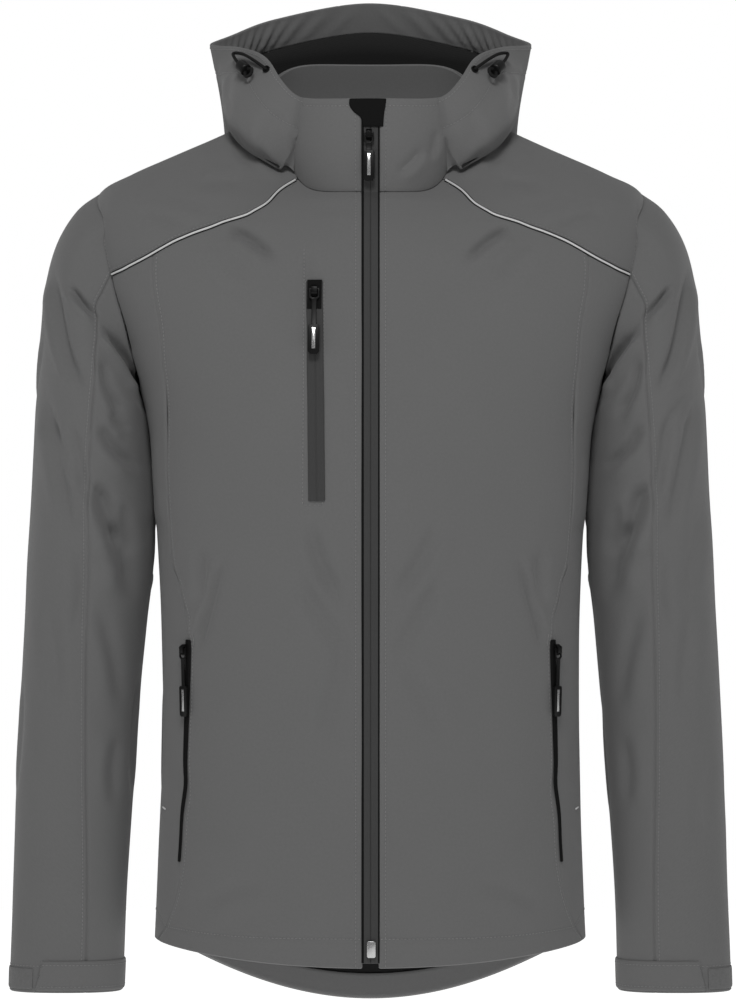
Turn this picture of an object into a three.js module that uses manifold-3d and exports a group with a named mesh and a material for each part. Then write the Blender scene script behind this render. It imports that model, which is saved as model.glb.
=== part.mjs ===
// Hooded softshell jacket, hollow and filled out, arms hanging.
// Millimetres. X runs to the wearer's left, Y to the back, Z up; zero is between the shoulders.
import * as THREE from "three";
import { mergeVertices } from "three/addons/utils/BufferGeometryUtils.js";
import Module from "manifold-3d";

const wasm = await Module();
wasm.setup();

// Cloth and seams
const WALL = 2;
const THIN_WALL = 1.2;
const SEAM = 0.3;
const LAID = 0.35;

// Where the front was measured from: the eye's distance and height
const EYE_DISTANCE = 4000;
const EYE_HEIGHT = -336;

// Front closing
const ZIP_HALF = 7.7;
const TAPE_HALF = 7.7;
const TAPE_SUNK = 0.6;

// Colours
const LOOKS = {
  shell: { color: 0x6a6a6a, roughness: 0.9, metalness: 0 },
  facing: { color: 0x555555, roughness: 0.9, metalness: 0 },
  lining: { color: 0x1b1b1b, roughness: 0.95, metalness: 0 },
  piping: { color: 0xb4b6b8, roughness: 0.5, metalness: 0 },
  zip_tape: { color: 0x3a3a3a, roughness: 0.8, metalness: 0 },
  trim: { color: 0x161616, roughness: 0.6, metalness: 0 },
  metal: { color: 0xa8abae, roughness: 0.35, metalness: 0.9 },
};

// Rings of the body from the hem up to the neck seam. half is the half width; the side,
// front and back points follow; square is the corner fullness, dip how late the height turns.
const RING_COLUMNS = [
  "half", "sideY", "sideZ", "frontY", "frontZ", "backY", "backZ", "square", "dip",
];
const RINGS = [
  [186, 0, -712, -122, -728, 112, -778, 2.4, 2],
  [183, 0, -640, -124, -650, 113, -676, 2.4, 2],
  [180.5, 0, -560, -126, -566, 113, -576, 2.4, 2],
  [179.8, 0, -480, -129, -484, 115, -487, 2.4, 2],
  [182, 0, -400, -133, -402, 120, -402, 2.4, 2],
  [187, 0, -320, -137, -321, 126, -320, 2.4, 2],
  [192, 0, -256, -138, -258, 130, -252, 2.35, 2],
  [213, 1, -205, -136, -212, 131, -204, 2.3, 2],
  [236, 2, -150, -130, -170, 129, -160, 2.3, 2],
  [241, 3, -104, -122, -137, 124, -120, 2.3, 2],
  [234, 4, -71, -113, -114, 115, -90, 2.3, 2.2],
  [205, 5, -54, -105, -100, 104, -68, 2.3, 2.6],
  [165, 6, -36, -97, -90, 92, -48, 2.3, 3.4],
  [122, 7, -17, -89, -81, 79, -30, 2.3, 5],
  [80, 6, 1, -80, -74, 64, -13, 2.3, 7],
];
const NECK_ROW = RINGS.length - 1;

// The collar's upper edge, in the same columns
const COLLAR_TOP = [[87, 2, 27, -76, 5, 57, 46, 2.2, 6]];
const COLLAR_LEAN = 3;
const COLLAR_GAP = 0.9;

// Seams as they show from the front, outwards and up from the zero point
const ARMHOLE_FRONT = [
  [233, -69], [231.5, -92], [229.7, -116], [224.5, -141], [215, -176.5],
  [208, -203.3], [200.5, -228], [194, -245],
];
const PIPING_LINE = [
  [68.8, -58], [86.9, -76.1], [104.2, -87.4], [130.2, -96], [153.5, -104.7],
  [188.1, -122], [210.6, -134.1], [224.5, -141],
];
const PRINCESS_SEAM = [
  [185.5, -713], [176, -702], [166, -668], [160.5, -610], [158.7, -545],
  [157, -457], [165, -411], [172.6, -377], [176, -275], [179.5, -223],
  [184.7, -174], [188.1, -122],
];

// Where the armhole meets the piping, and the piping meets the front seam, as shares
const PIPING_TURN = 5;
const ARMHOLE_TURN = 3;

// Sleeve sections from the armhole to the cuff: outer and inner line, middle, half depth
const SLEEVE_COLUMNS = ["outX", "outZ", "inX", "inZ", "midY", "deep", "square"];
const SLEEVE_ROWS = [
  [233, -69, 193.3, -251, 3, 76, 2],
  [253, -84, 196, -254, 5, 77, 2],
  [270, -112, 196.5, -257, 7, 78, 2],
  [280.5, -150, 196.3, -261, 8, 78, 2],
  [285.5, -192, 193.6, -268, 9, 77, 2],
  [288.8, -232, 191.8, -282, 10, 75.5, 2.05],
  [291.5, -276, 189.9, -303, 11, 73, 2.1],
  [294, -325, 187.3, -338, 13, 69, 2.1],
  [297.3, -385, 187.9, -388, 15, 63, 2.15],
  [299.6, -440, 194, -441, 15, 58, 2.2],
  [303, -505, 199.8, -505, 11, 53, 2.25],
  [306.8, -580, 204.8, -580, 5, 47, 2.3],
  [308.4, -660, 210.2, -660, -2, 40, 2.35],
  [311, -757, 213.4, -757, -9, 33.5, 2.4],
];
const CUFF_ROW = SLEEVE_ROWS.length - 1;
const SLEEVE_FADE_ROWS = 4;
const ARMPIT_STAND = 1.4;
const SHOULDER_STAND = 0.3;

// The sleeve's front seam as it shows from the front
const SLEEVE_SEAM = [
  [224.5, -141], [232, -156], [237.5, -169], [236, -181], [237.2, -206.7], [240.9, -264.7],
  [243.5, -326.1], [244.8, -418.7], [246.1, -542.4], [244.8, -666], [246.5, -757],
];

// Hood sections from the front end, on the collar, round to the middle of the back.
// around is the place on the neck seam; restAround and restUp say where it rests on the body;
// out is its fullest point and edge its opening edge.
const HOOD_COLUMNS = [
  "around", "restAround", "restUp", "clear", "outX", "outY", "outZ", "edgeX", "edgeY", "edgeZ",
];
const HOOD_ROWS = [
  [50, 49, 13.84, 4.5, 61.8, -63.6, -22, 57.3, -63.6, 6],
  [56, 53, 13.56, 5, 100, -61, -24, 67, -60, 12],
  [66, 63, 13.12, 5, 119, -42, -6, 78, -51, 25],
  [78, 76, 13.0, 5, 125, -13, 12, 92, -25, 46],
  [92, 96, 13.0, 4.8, 129, 16, 26, 114, 10, 57],
  [108, 114, 13.0, 6, 132, 48, 21, 141, 43, 62],
  [128, 134, 12.0, 7.5, 127, 95, 6, 125, 84, 74],
  [152, 158, 10.1, 8.5, 88, 147, -15, 83, 124, 93.5],
  [180, 180, 9.0, 9, 0, 174, -40, 0, 141, 109],
];
const HOOD_NECK_UP = 13.86;
const HOOD_WALL = 1.2;
const HOOD_SIDE_END = 7.68;
const FACING_WIDE = 25;
const LINING_WALL = 1;
const LINING_SKIP = 2;

// Strips and tabs
const PIPING_WIDE = 3.4;
const PIPING_WALL = 0.9;
const CHEST_ZIP = { x: 48.4, wide: 13.4, top: -146.5, bottom: -336, lean: 1.8 };
const POCKET_LINE = [
  [157, -457], [158.7, -528.5], [160.5, -583], [164.8, -648],
];
const POCKET_WIDE = 6;
const POCKET_RADIUS = 150;

const radians = (degrees) => (degrees * Math.PI) / 180;
const mix = (a, b, f) => a + (b - a) * f;
const clamp = (v, low, high) => Math.min(high, Math.max(low, v));

// Smooth value through a list of numbers, one row apart
function through(values, s) {
  const last = values.length - 1;
  if (last === 0) return values[0];
  const i = clamp(Math.floor(s), 0, last - 1);
  const f = s - i;
  const p1 = values[i];
  const p2 = values[i + 1];
  const p0 = i > 0 ? values[i - 1] : 2 * p1 - p2;
  const p3 = i < last - 1 ? values[i + 2] : 2 * p2 - p1;
  const a = 2 * p1;
  const b = p2 - p0;
  const c = 2 * p0 - 5 * p1 + 4 * p2 - p3;
  const d = 3 * p1 - p0 - 3 * p2 + p3;
  return 0.5 * (a + b * f + c * f * f + d * f * f * f);
}

// The row of a table at any place between its rows, by column name
function rowOf(columns, table, s) {
  const row = {};
  columns.forEach((name, k) => {
    row[name] = through(table.map((r) => r[k]), s);
  });
  return row;
}

// The length of a direction measured by a squared-off circle
const squareness = (sine, cosine, power) =>
  (Math.abs(sine) ** power + Math.abs(cosine) ** power) ** (1 / power);

// A point of a ring, turned "around" degrees from the front towards the wearer's left
function ringPoint(row, around) {
  const sine = Math.sin(radians(around));
  const cosine = Math.cos(radians(around));
  const round = squareness(sine, cosine, row.square);
  const across = sine / round;
  const ahead = Math.abs(cosine / round);
  const rise = 1 - Math.abs(across) ** row.dip;
  const endY = cosine > 0 ? row.frontY : row.backY;
  const endZ = cosine > 0 ? row.frontZ : row.backZ;
  return new THREE.Vector3(
    row.half * across,
    mix(row.sideY, endY, ahead),
    mix(row.sideZ, endZ, rise),
  );
}

// Surfaces: each gives a point for two numbers
const body = (around, up) => ringPoint(rowOf(RING_COLUMNS, RINGS, up), around);

function collarSurface(around, up) {
  const low = ringPoint(rowOf(RING_COLUMNS, RINGS, NECK_ROW), around);
  const high = ringPoint(rowOf(RING_COLUMNS, COLLAR_TOP, 0), around);
  const point = low.clone().lerp(high, up);
  const bow = COLLAR_LEAN * Math.sin(Math.PI * up);
  const out = new THREE.Vector3(point.x, point.y, 0).normalize();
  return point.addScaledVector(out, bow);
}

// The outward direction of a surface at a place
function normalOf(surface, a, b, stepA, stepB) {
  const da = surface(a + stepA, b).sub(surface(a - stepA, b));
  const db = surface(a, b + stepB).sub(surface(a, b - stepB));
  return da.cross(db).normalize();
}
const bodyNormal = (around, up) =>
  normalOf(body, around, clamp(up, 0.01, NECK_ROW - 0.01), 0.2, 0.01);

// What the front shows of a point: outwards and up
function seenFrom(point) {
  const near = EYE_DISTANCE / (EYE_DISTANCE + point.y);
  return [point.x * near, EYE_HEIGHT + (point.z - EYE_HEIGHT) * near];
}

// The place on a surface that shows at x, z, found from a first guess
function placeSeen(surface, x, z, guess, limits) {
  let [a, b] = guess;
  for (let turn = 0; turn < 60; turn += 1) {
    const here = seenFrom(surface(a, b));
    const ahead = seenFrom(surface(a + 0.05, b));
    const above = seenFrom(surface(a, b + 0.005));
    const m11 = (ahead[0] - here[0]) / 0.05;
    const m12 = (above[0] - here[0]) / 0.005;
    const m21 = (ahead[1] - here[1]) / 0.05;
    const m22 = (above[1] - here[1]) / 0.005;
    const det = m11 * m22 - m12 * m21;
    const ex = x - here[0];
    const ez = z - here[1];
    if (Math.hypot(ex, ez) < 0.01 || Math.abs(det) < 1e-9) break;
    a = clamp(a + clamp((ex * m22 - ez * m12) / det, -4, 4), limits[0], limits[1]);
    b = clamp(b + clamp((ez * m11 - ex * m21) / det, -0.4, 0.4), limits[2], limits[3]);
  }
  return [a, b];
}

// A line of places on a surface from the points that show from the front
function lineSeen(surface, points, guess, limits) {
  let last = guess;
  return points.map(([x, z]) => {
    last = placeSeen(surface, x, z, last, limits);
    return last;
  });
}

// A smooth line through places, at a share from 0 to 1
function lineAt(places, share) {
  const s = share * (places.length - 1);
  return [through(places.map((p) => p[0]), s), through(places.map((p) => p[1]), s)];
}

// Equal shares between two shares of a line
const spread = (from, to, count) =>
  Array.from({ length: count + 1 }, (_, i) => mix(from, to, i / count));

// Lines on the body
const bodyLimits = [0, 90, 0, NECK_ROW];
const piping = lineSeen(body, PIPING_LINE, [50, 13.8], bodyLimits);
const princess = lineSeen(body, PRINCESS_SEAM.slice(1).reverse(), [60, 9.5], bodyLimits).reverse();
princess.unshift([74, 0]);
const armholeFront = lineSeen(body, ARMHOLE_FRONT, [88, 10], [0, 90, 0, NECK_ROW]);
armholeFront[0] = [90, 10.05];
armholeFront[armholeFront.length - 1] = [90, 6.12];
piping[0][1] = NECK_ROW;
piping[piping.length - 1] = armholeFront[ARMHOLE_TURN];
princess[princess.length - 1] = piping[PIPING_TURN];
const armholeBack = armholeFront.map(([around, up]) => [180 - around, up]);
const BACK_YOKE_UP = 9.1;
const YOKE_CROWD = 1.6;
const backYoke = [
  armholeBack[ARMHOLE_TURN],
  [mix(armholeBack[ARMHOLE_TURN][0], 180, 0.5), BACK_YOKE_UP],
  [180, BACK_YOKE_UP],
];

// The whole armhole, 0 at the shoulder, 90 in front, 180 under the arm, 270 behind
const armholeSteps = ARMHOLE_FRONT.length - 1;
const tipShare = ARMHOLE_TURN / armholeSteps;
function armholePlace(turn) {
  const t = ((turn % 360) + 360) % 360;
  return t <= 180 ? lineAt(armholeFront, t / 180) : lineAt(armholeBack, (360 - t) / 180);
}

// Sleeve surface: turn round the sleeve, row down from the armhole
function sleeveOval(row, turn) {
  const sine = Math.sin(radians(turn));
  const cosine = Math.cos(radians(turn));
  const round = squareness(sine, cosine, row.square);
  const side = cosine / round;
  return new THREE.Vector3(
    mix(row.inX, row.outX, (side + 1) / 2),
    row.midY - (row.deep * sine) / round,
    mix(row.inZ, row.outZ, (side + 1) / 2),
  );
}
function sleeve(turn, down) {
  const at = clamp(down, 0, CUFF_ROW);
  const oval = sleeveOval(rowOf(SLEEVE_COLUMNS, SLEEVE_ROWS, at), turn);
  const share = clamp(1 - at / SLEEVE_FADE_ROWS, 0, 1);
  const fade = share * share * (3 - 2 * share);
  if (fade === 0) return oval;
  const start = sleeveOval(rowOf(SLEEVE_COLUMNS, SLEEVE_ROWS, 0), turn);
  const [around, up] = armholePlace(turn);
  const low = clamp((Math.abs((((turn % 360) + 360) % 360) - 180) - 20) / 60, 0, 1);
  const stand = mix(ARMPIT_STAND, SHOULDER_STAND, low * low * (3 - 2 * low));
  const hole = body(around, up).addScaledVector(bodyNormal(around, up), stand);
  return oval.addScaledVector(hole.sub(start), fade);
}
const sleeveNormal = (turn, down) =>
  normalOf(sleeve, turn, clamp(down, 0.02, CUFF_ROW - 0.02), 0.5, 0.02);

// Hood surface: row from the left collar end round to the right one, share from neck to edge
const HOOD_END = HOOD_ROWS.length - 1;
const beyond = HOOD_ROWS[HOOD_END - 1].map((value, k) =>
  HOOD_COLUMNS[k].endsWith("X") ? -value : value,
);
beyond[0] = 360 - beyond[0];
beyond[1] = 360 - beyond[1];
const HOOD_ALL = [...HOOD_ROWS, beyond];
function hoodSection(s) {
  const row = rowOf(HOOD_COLUMNS, HOOD_ALL, s);
  const on = (around, up) => {
    return body(around, up).addScaledVector(bodyNormal(around, up), row.clear);
  };
  const resting = [0, 0.34, 0.68, 1].map((f) => {
    return on(mix(row.around, row.restAround, f), mix(HOOD_NECK_UP, row.restUp, f));
  });
  const out = new THREE.Vector3(row.outX, row.outY, row.outZ);
  const edge = new THREE.Vector3(row.edgeX, row.edgeY, row.edgeZ);
  const end = clamp(1 - s, 0, 1) ** 2;
  const spaced = resting.map((p, k) => p.clone().lerp(resting[0].clone().lerp(out, k / 4), end));
  return [...spaced, out, edge];
}
function hood(s, share) {
  const far = s > HOOD_END;
  const points = hoodSection(far ? 2 * HOOD_END - s : s);
  const at = share * (points.length - 1);
  const value = (key) => through(points.map((p) => p[key]), at);
  return new THREE.Vector3(far ? -value("x") : value("x"), value("y"), value("z"));
}

const group = new THREE.Group();

function addMesh(name, look, geometry) {
  const mesh = new THREE.Mesh(geometry, new THREE.MeshStandardMaterial(LOOKS[look]));
  mesh.name = name;
  group.add(mesh);
  return mesh;
}

// Cloth: a grid of points and outward directions made into one closed sheet
function clothGeometry(points, normals, wall, mirrored, turnColumn) {
  const rows = points.length;
  const cols = points[0].length;
  const at = (i, j) => i * cols + j;
  const count = rows * cols;
  const positions = [];
  const push = (p) => positions.push(mirrored ? -p.x : p.x, p.y, p.z);
  points.forEach((row) => row.forEach(push));
  points.forEach((row, i) => {
    row.forEach((p, j) => push(p.clone().addScaledVector(normals[i][j], -wall)));
  });
  const faces = [];
  const quad = (a, b, c, d) => faces.push([a, b, c], [a, c, d]);
  for (let i = 0; i < rows - 1; i += 1) {
    for (let j = 0; j < cols - 1; j += 1) {
      const [a, b, c, d] = [at(i, j), at(i + 1, j), at(i + 1, j + 1), at(i, j + 1)];
      const split = j < turnColumn ? [a, b, c, d] : [b, c, d, a];
      quad(...split);
      const [e, f, g, h] = split.map((k) => k + count);
      faces.push([e, g, f], [e, h, g]);
    }
  }
  const rim = [];
  for (let j = 0; j < cols - 1; j += 1) {
    rim.push([at(0, j), at(0, j + 1)]);
    rim.push([at(rows - 1, j + 1), at(rows - 1, j)]);
  }
  for (let i = 0; i < rows - 1; i += 1) {
    rim.push([at(i + 1, 0), at(i, 0)]);
    rim.push([at(i, cols - 1), at(i + 1, cols - 1)]);
  }
  rim.forEach(([a, b]) => quad(a, b, count + b, count + a));
  const i = Math.floor(rows / 2);
  const j = Math.floor(cols / 2);
  const du = points[Math.min(i + 1, rows - 1)][j].clone().sub(points[Math.max(i - 1, 0)][j]);
  const dv = points[i][Math.min(j + 1, cols - 1)].clone().sub(points[i][Math.max(j - 1, 0)]);
  const outward = du.cross(dv).dot(normals[i][j]) > 0;
  const flip = outward === Boolean(mirrored);
  const index = faces.flatMap(([a, b, c]) => (flip ? [a, c, b] : [a, b, c]));
  const geometry = new THREE.BufferGeometry();
  geometry.setAttribute("position", new THREE.Float32BufferAttribute(positions, 3));
  geometry.setIndex(index);
  geometry.computeVertexNormals();
  return geometry;
}

// Draws the border of a grid in by half a seam, along the sheet and square to the border
function drawIn(points, amount) {
  const rows = points.length;
  const cols = points[0].length;
  const shifts = points.map((row) => row.map(() => new THREE.Vector3()));
  const pull = (i, j, inner, next, before) => {
    const along = next.clone().sub(before).normalize();
    const inward = inner.clone().sub(points[i][j]);
    inward.addScaledVector(along, -inward.dot(along)).normalize();
    shifts[i][j].addScaledVector(inward, amount);
  };
  for (let j = 0; j < cols; j += 1) {
    const [p, n] = [Math.max(j - 1, 0), Math.min(j + 1, cols - 1)];
    pull(0, j, points[1][j], points[0][n], points[0][p]);
    pull(rows - 1, j, points[rows - 2][j], points[rows - 1][n], points[rows - 1][p]);
  }
  for (let i = 0; i < rows; i += 1) {
    const [p, n] = [Math.max(i - 1, 0), Math.min(i + 1, rows - 1)];
    pull(i, 0, points[i][1], points[n][0], points[p][0]);
    pull(i, cols - 1, points[i][cols - 2], points[n][cols - 1], points[p][cols - 1]);
  }
  return points.map((row, i) => row.map((q, j) => q.clone().add(shifts[i][j])));
}

// A sheet over a grid of places on a surface, lifted off it and given a wall
function addCloth(name, look, places, surface, normal, options = {}) {
  const { wall = WALL, lift = 0, seam = SEAM / 2, sides = [""], turnColumn = Infinity } = options;
  const normals = places.map((row) => row.map(([a, b]) => normal(a, b)));
  const raw = places.map((row, i) =>
    row.map(([a, b], j) => surface(a, b).addScaledVector(normals[i][j], lift)),
  );
  const points = seam ? drawIn(raw, seam) : raw;
  sides.forEach((side) => {
    const mirrored = side === "_right";
    addMesh(name + side, look, clothGeometry(points, normals, wall, mirrored, turnColumn));
  });
}
const PAIR = ["_left", "_right"];

// Places between four border lines of places
function fill(bottom, top, left, right) {
  const cols = bottom.length;
  const rows = left.length;
  return left.map((_, i) => {
    const v = i / (rows - 1);
    return bottom.map((__, j) => {
      const u = j / (cols - 1);
      return [0, 1].map((k) => {
        const ruled = mix(left[i][k], right[i][k], u) + mix(bottom[j][k], top[j][k], v);
        const low = mix(bottom[0][k], bottom[cols - 1][k], u);
        const corners = mix(low, mix(top[0][k], top[cols - 1][k], u), v);
        return ruled - corners;
      });
    });
  });
}
const straight = (a, b, count) =>
  spread(0, 1, count).map((f) => [mix(a[0], b[0], f), mix(a[1], b[1], f)]);

// The zip edge of the fronts, as a place on ring "up"
function zipEdge(up) {
  const half = through(RINGS.map((r) => r[0]), up);
  return [(Math.asin(ZIP_HALF / half) * 180) / Math.PI, up];
}

// Directions at the armhole are shared by body and sleeve where both face nearly one way
function armholeNormal(turn) {
  const [around, up] = armholePlace(turn);
  const onBody = bodyNormal(around, up);
  const onSleeve = sleeveNormal(turn, 0.02);
  const share = clamp(onBody.dot(onSleeve) * 2, 0, 1);
  return { share, onBody, onSleeve, even: onBody.clone().add(onSleeve).normalize() };
}
const armholeTurns = new Map();
const placeKey = ([a, b]) => a.toFixed(4) + " " + b.toFixed(5);
function panelNormal(around, up) {
  const turn = armholeTurns.get(placeKey([around, up]));
  const own = bodyNormal(around, up);
  if (turn === undefined) return own;
  const { share, even } = armholeNormal(turn);
  return own.lerp(even, share).normalize();
}
function sleevePanelNormal(turn, down) {
  const own = sleeveNormal(turn, down);
  if (down > 0.001) return own;
  const { share, even } = armholeNormal(turn);
  return own.lerp(even, share).normalize();
}

// Steps round the armhole, shared by the panels that meet there
const TURN_JOIN = 180 * tipShare;
const upperTurns = spread(0, TURN_JOIN, 6);
const lowerTurns = spread(TURN_JOIN, 180, 7);
[...upperTurns, ...lowerTurns].forEach((turn) => {
  armholeTurns.set(placeKey(armholePlace(turn)), turn);
  armholeTurns.set(placeKey(armholePlace(360 - turn)), 360 - turn);
});

// Fronts
const pipeTurnShare = PIPING_TURN / (PIPING_LINE.length - 1);
const princessSteps = spread(0, 1, 18).map((f) => lineAt(princess, f));
const pipeShares = spread(pipeTurnShare, 0, 8);
const pipingInner = pipeShares.map((f) => lineAt(piping, f));
const pipingOuter = spread(pipeTurnShare, 1, 3).map((f) => lineAt(piping, f));
{
  const outer = [...princessSteps, ...pipingInner.slice(1)];
  const turnUp = 9.4;
  const inner = outer.map(([, up], i) => {
    if (i < princessSteps.length) return zipEdge((up / princess[princess.length - 1][1]) * turnUp);
    return zipEdge(mix(turnUp, NECK_ROW, (i - princessSteps.length + 1) / (pipingInner.length - 1)));
  });
  const bottom = straight(inner[0], outer[0], 9);
  const top = straight(inner[inner.length - 1], outer[outer.length - 1], 9);
  addCloth("front", "shell", fill(bottom, top, inner, outer), body, panelNormal, { sides: PAIR });
}

// Side fronts
const SIDE_SEAM = 90;
{
  const under = lowerTurns.slice().reverse().map((turn) => armholePlace(turn));
  const seam = spread(0, under[0][1], 11).map((up) => [SIDE_SEAM, up]);
  const outer = [...seam, ...under.slice(1)];
  const inner = princessSteps;
  const bottom = straight(inner[0], outer[0], 3);
  const top = pipingOuter;
  addCloth("side_front", "shell", fill(bottom, top, inner, outer), body, panelNormal, { sides: PAIR });
}

// Yokes
{
  const backTurns = upperTurns.map((turn) => armholePlace(360 - turn));
  const frontTurns = upperTurns.slice().reverse().map((turn) => armholePlace(turn));
  const pipingUpper = pipeShares.slice().reverse().map((f) => lineAt(piping, Math.max(f, 0.03)));
  const pipe = [...pipingUpper, ...pipingOuter.slice(1)];
  const backLine = spread(0, 1, 8).map((f) => lineAt(backYoke, f));
  const low = [...pipe, ...frontTurns.slice(1), ...backTurns.slice(1), ...backLine.slice(1)];
  const neckStart = piping[0][0] + 1.2;
  // The columns crowd towards the front, so that none crosses the armhole
  const high = low.map((_, i) => {
    return [mix(neckStart, 180, (i / (low.length - 1)) ** YOKE_CROWD), NECK_ROW];
  });
  const left = straight(low[0], high[0], 5);
  const right = straight(low[low.length - 1], high[high.length - 1], 5);
  addCloth("yoke", "shell", fill(low, high, left, right), body, panelNormal, { sides: PAIR });
}

// Back
{
  const under = lowerTurns.slice().reverse().map((turn) => armholePlace(360 - turn));
  const seam = spread(0, under[0][1], 11).map((up) => [SIDE_SEAM, up]);
  const side = [...seam, ...under.slice(1)];
  const far = side.map(([around, up]) => [360 - around, up]);
  const half = spread(0, 1, 8).map((f) => lineAt(backYoke, f));
  const farHalf = half.slice(0, -1).reverse().map(([around, up]) => [360 - around, up]);
  const top = [...half, ...farHalf];
  const bottom = straight(side[0], far[0], 16);
  const onBack = (around, up) => {
    const flipped = around > 180;
    const n = panelNormal(flipped ? 360 - around : around, up);
    if (flipped) n.x = -n.x;
    return n;
  };
  addCloth("back", "shell", fill(bottom, top, side, far), body, onBack);
}

// Back hem turn-up, inside the back
{
  const rows = spread(0.03, 0.21, 1);
  const places = rows.map((up) => spread(90, 270, 16).slice(1, -1).map((around) => [around, up]));
  addCloth("back_hem_facing", "facing", places, body, bodyNormal, {
    wall: THIN_WALL, lift: -WALL - 0.5, seam: 0,
  });
}

// Sleeves
const seamLimits = [0, 180, 0, CUFF_ROW];
const sleeveSeamPlaces = lineSeen(sleeve, SLEEVE_SEAM.slice(1), [TURN_JOIN, 0.5], seamLimits);
sleeveSeamPlaces.unshift([TURN_JOIN, 0]);
sleeveSeamPlaces[sleeveSeamPlaces.length - 1][1] = CUFF_ROW;
const seamSteps = [...spread(0, 4.9, 7), ...spread(5.5, 9.1, 6), 9.6, 10];
const frontSeam = seamSteps.map((s) => lineAt(sleeveSeamPlaces, s / 10));
const backSeam = frontSeam.map(([turn, down]) => [360 - turn, down]);
{
  const outer = frontSeam.map(([turn, down]) => [-turn, down]);
  const start = [
    ...upperTurns.slice().reverse().map((t) => [t, 0]),
    ...upperTurns.slice(1).map((t) => [-t, 0]),
  ];
  const cuffEnd = frontSeam[frontSeam.length - 1];
  const cuff = straight(cuffEnd, outer[outer.length - 1], start.length - 1);
  addCloth("top_sleeve", "shell", fill(start, cuff, frontSeam, outer), sleeve, sleevePanelNormal, {
    seam: 0.2, sides: PAIR,
  });
  const under = [
    ...lowerTurns.map((t) => [t, 0]),
    ...lowerTurns.slice(0, -1).reverse().map((t) => [360 - t, 0]),
  ];
  const underCuff = straight(cuffEnd, backSeam[backSeam.length - 1], under.length - 1);
  const places = fill(under, underCuff, frontSeam, backSeam);
  addCloth("under_sleeve", "shell", places, sleeve, sleevePanelNormal, { sides: PAIR });
}

// Collar, outer and inner
const collarNormal = (around, up) =>
  normalOf(collarSurface, around, clamp(up, 0.01, 0.99), 0.2, 0.01);
const collarEdge = (Math.asin(ZIP_HALF / 82) * 180) / Math.PI;
{
  const arounds = spread(collarEdge, 360 - collarEdge, 38);
  const low = (around) => COLLAR_GAP / collarSurface(around, 0).distanceTo(collarSurface(around, 1));
  const outer = spread(0, 1, 4).map((f) => arounds.map((around) => [around, mix(low(around), 1, f)]));
  addCloth("collar_outer", "shell", outer, collarSurface, collarNormal, { wall: 1.5 });
  addCloth("collar_inner", "facing", outer, collarSurface, collarNormal, {
    wall: THIN_WALL, lift: -2.2,
  });
}

// Hood
const hoodNormal = (s, share) => {
  const at = clamp(s, 0.02, 2 * HOOD_END - 0.02);
  return normalOf(hood, at, clamp(share, 0.01, 0.99), 0.02, 0.01);
};
{
  const facingStart = (s) => {
    const section = hoodSection(s > HOOD_END ? 2 * HOOD_END - s : s);
    const [out, edge] = section.slice(-2);
    return 1 - FACING_WIDE / out.distanceTo(edge) / (section.length - 1);
  };
  const LINED = spread(0, 1, 10);
  const FACED = [1, 1.5, 2];
  const at = (s, k) => [s, k <= 1 ? k * facingStart(s) : mix(facingStart(s), 1, k - 1)];
  const over = (stations, steps) => steps.map((k) => stations.map((s) => at(s, k)));
  const side = spread(0, HOOD_SIDE_END, 12);
  const middle = spread(HOOD_SIDE_END, 2 * HOOD_END - HOOD_SIDE_END, 4);
  const farSide = side.slice(0, -1).reverse().map((s) => 2 * HOOD_END - s);
  const all = [...side, ...middle.slice(1), ...farSide];
  const shell = [...LINED, ...FACED.slice(1)];
  const inside = -HOOD_WALL - 0.7;
  addCloth("hood_side", "shell", over(side, shell), hood, hoodNormal, {
    wall: HOOD_WALL, seam: 0.25, sides: PAIR,
  });
  addCloth("hood_centre", "shell", over(middle, shell), hood, hoodNormal, {
    wall: HOOD_WALL, seam: 0.25, turnColumn: 2,
  });
  const middleColumn = side.length + 1;
  const lined = over(all.slice(LINING_SKIP, -LINING_SKIP), LINED);
  addCloth("hood_lining", "lining", lined, hood, hoodNormal, {
    wall: LINING_WALL, lift: inside, turnColumn: middleColumn - LINING_SKIP,
  });
  addCloth("hood_facing", "facing", over(all, FACED), hood, hoodNormal, {
    wall: LINING_WALL, lift: inside, turnColumn: middleColumn,
  });
}

// Yoke piping, laid along the seam
{
  const at = (f, side) => {
    const here = body(...lineAt(piping, f));
    const along = body(...lineAt(piping, Math.min(f + 0.01, 1)));
    along.sub(body(...lineAt(piping, f - 0.01)));
    const out = bodyNormal(...lineAt(piping, f));
    return here.addScaledVector(along.cross(out).normalize(), (side * PIPING_WIDE) / 2);
  };
  const shares = [...spread(0.06, pipeTurnShare, 10), ...spread(pipeTurnShare, 0.985, 4).slice(1)];
  const places = shares.map((f) => [[f, -1], [f, 1]]);
  const out = (f) => bodyNormal(...lineAt(piping, f));
  addCloth("piping", "piping", places, at, out, {
    wall: PIPING_WALL, lift: PIPING_WALL + LAID, seam: 0, sides: PAIR,
  });
}

// Front zip: two tapes side by side between the fronts
const stripRows = [...RINGS.map((_, i) => i), 14.25, 14.5, 14.75, 14.96];
const middlePoint = (up) => (up <= NECK_ROW ? body(0, up) : collarSurface(0, up - NECK_ROW));
function stripPoint(x, up) {
  const p = middlePoint(up);
  p.x = x;
  return p;
}
function stripNormal(x, up) {
  const rise = middlePoint(Math.min(up + 0.02, 15)).sub(middlePoint(Math.max(up - 0.02, 0)));
  return new THREE.Vector3(0, -rise.z, rise.y).normalize();
}
{
  const places = [0.05, ...stripRows.slice(1)].map((up) => [[0, up], [TAPE_HALF, up]]);
  addCloth("zip_tape", "zip_tape", places, stripPoint, stripNormal, {
    wall: THIN_WALL, lift: -TAPE_SUNK, sides: PAIR,
  });
}

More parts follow.
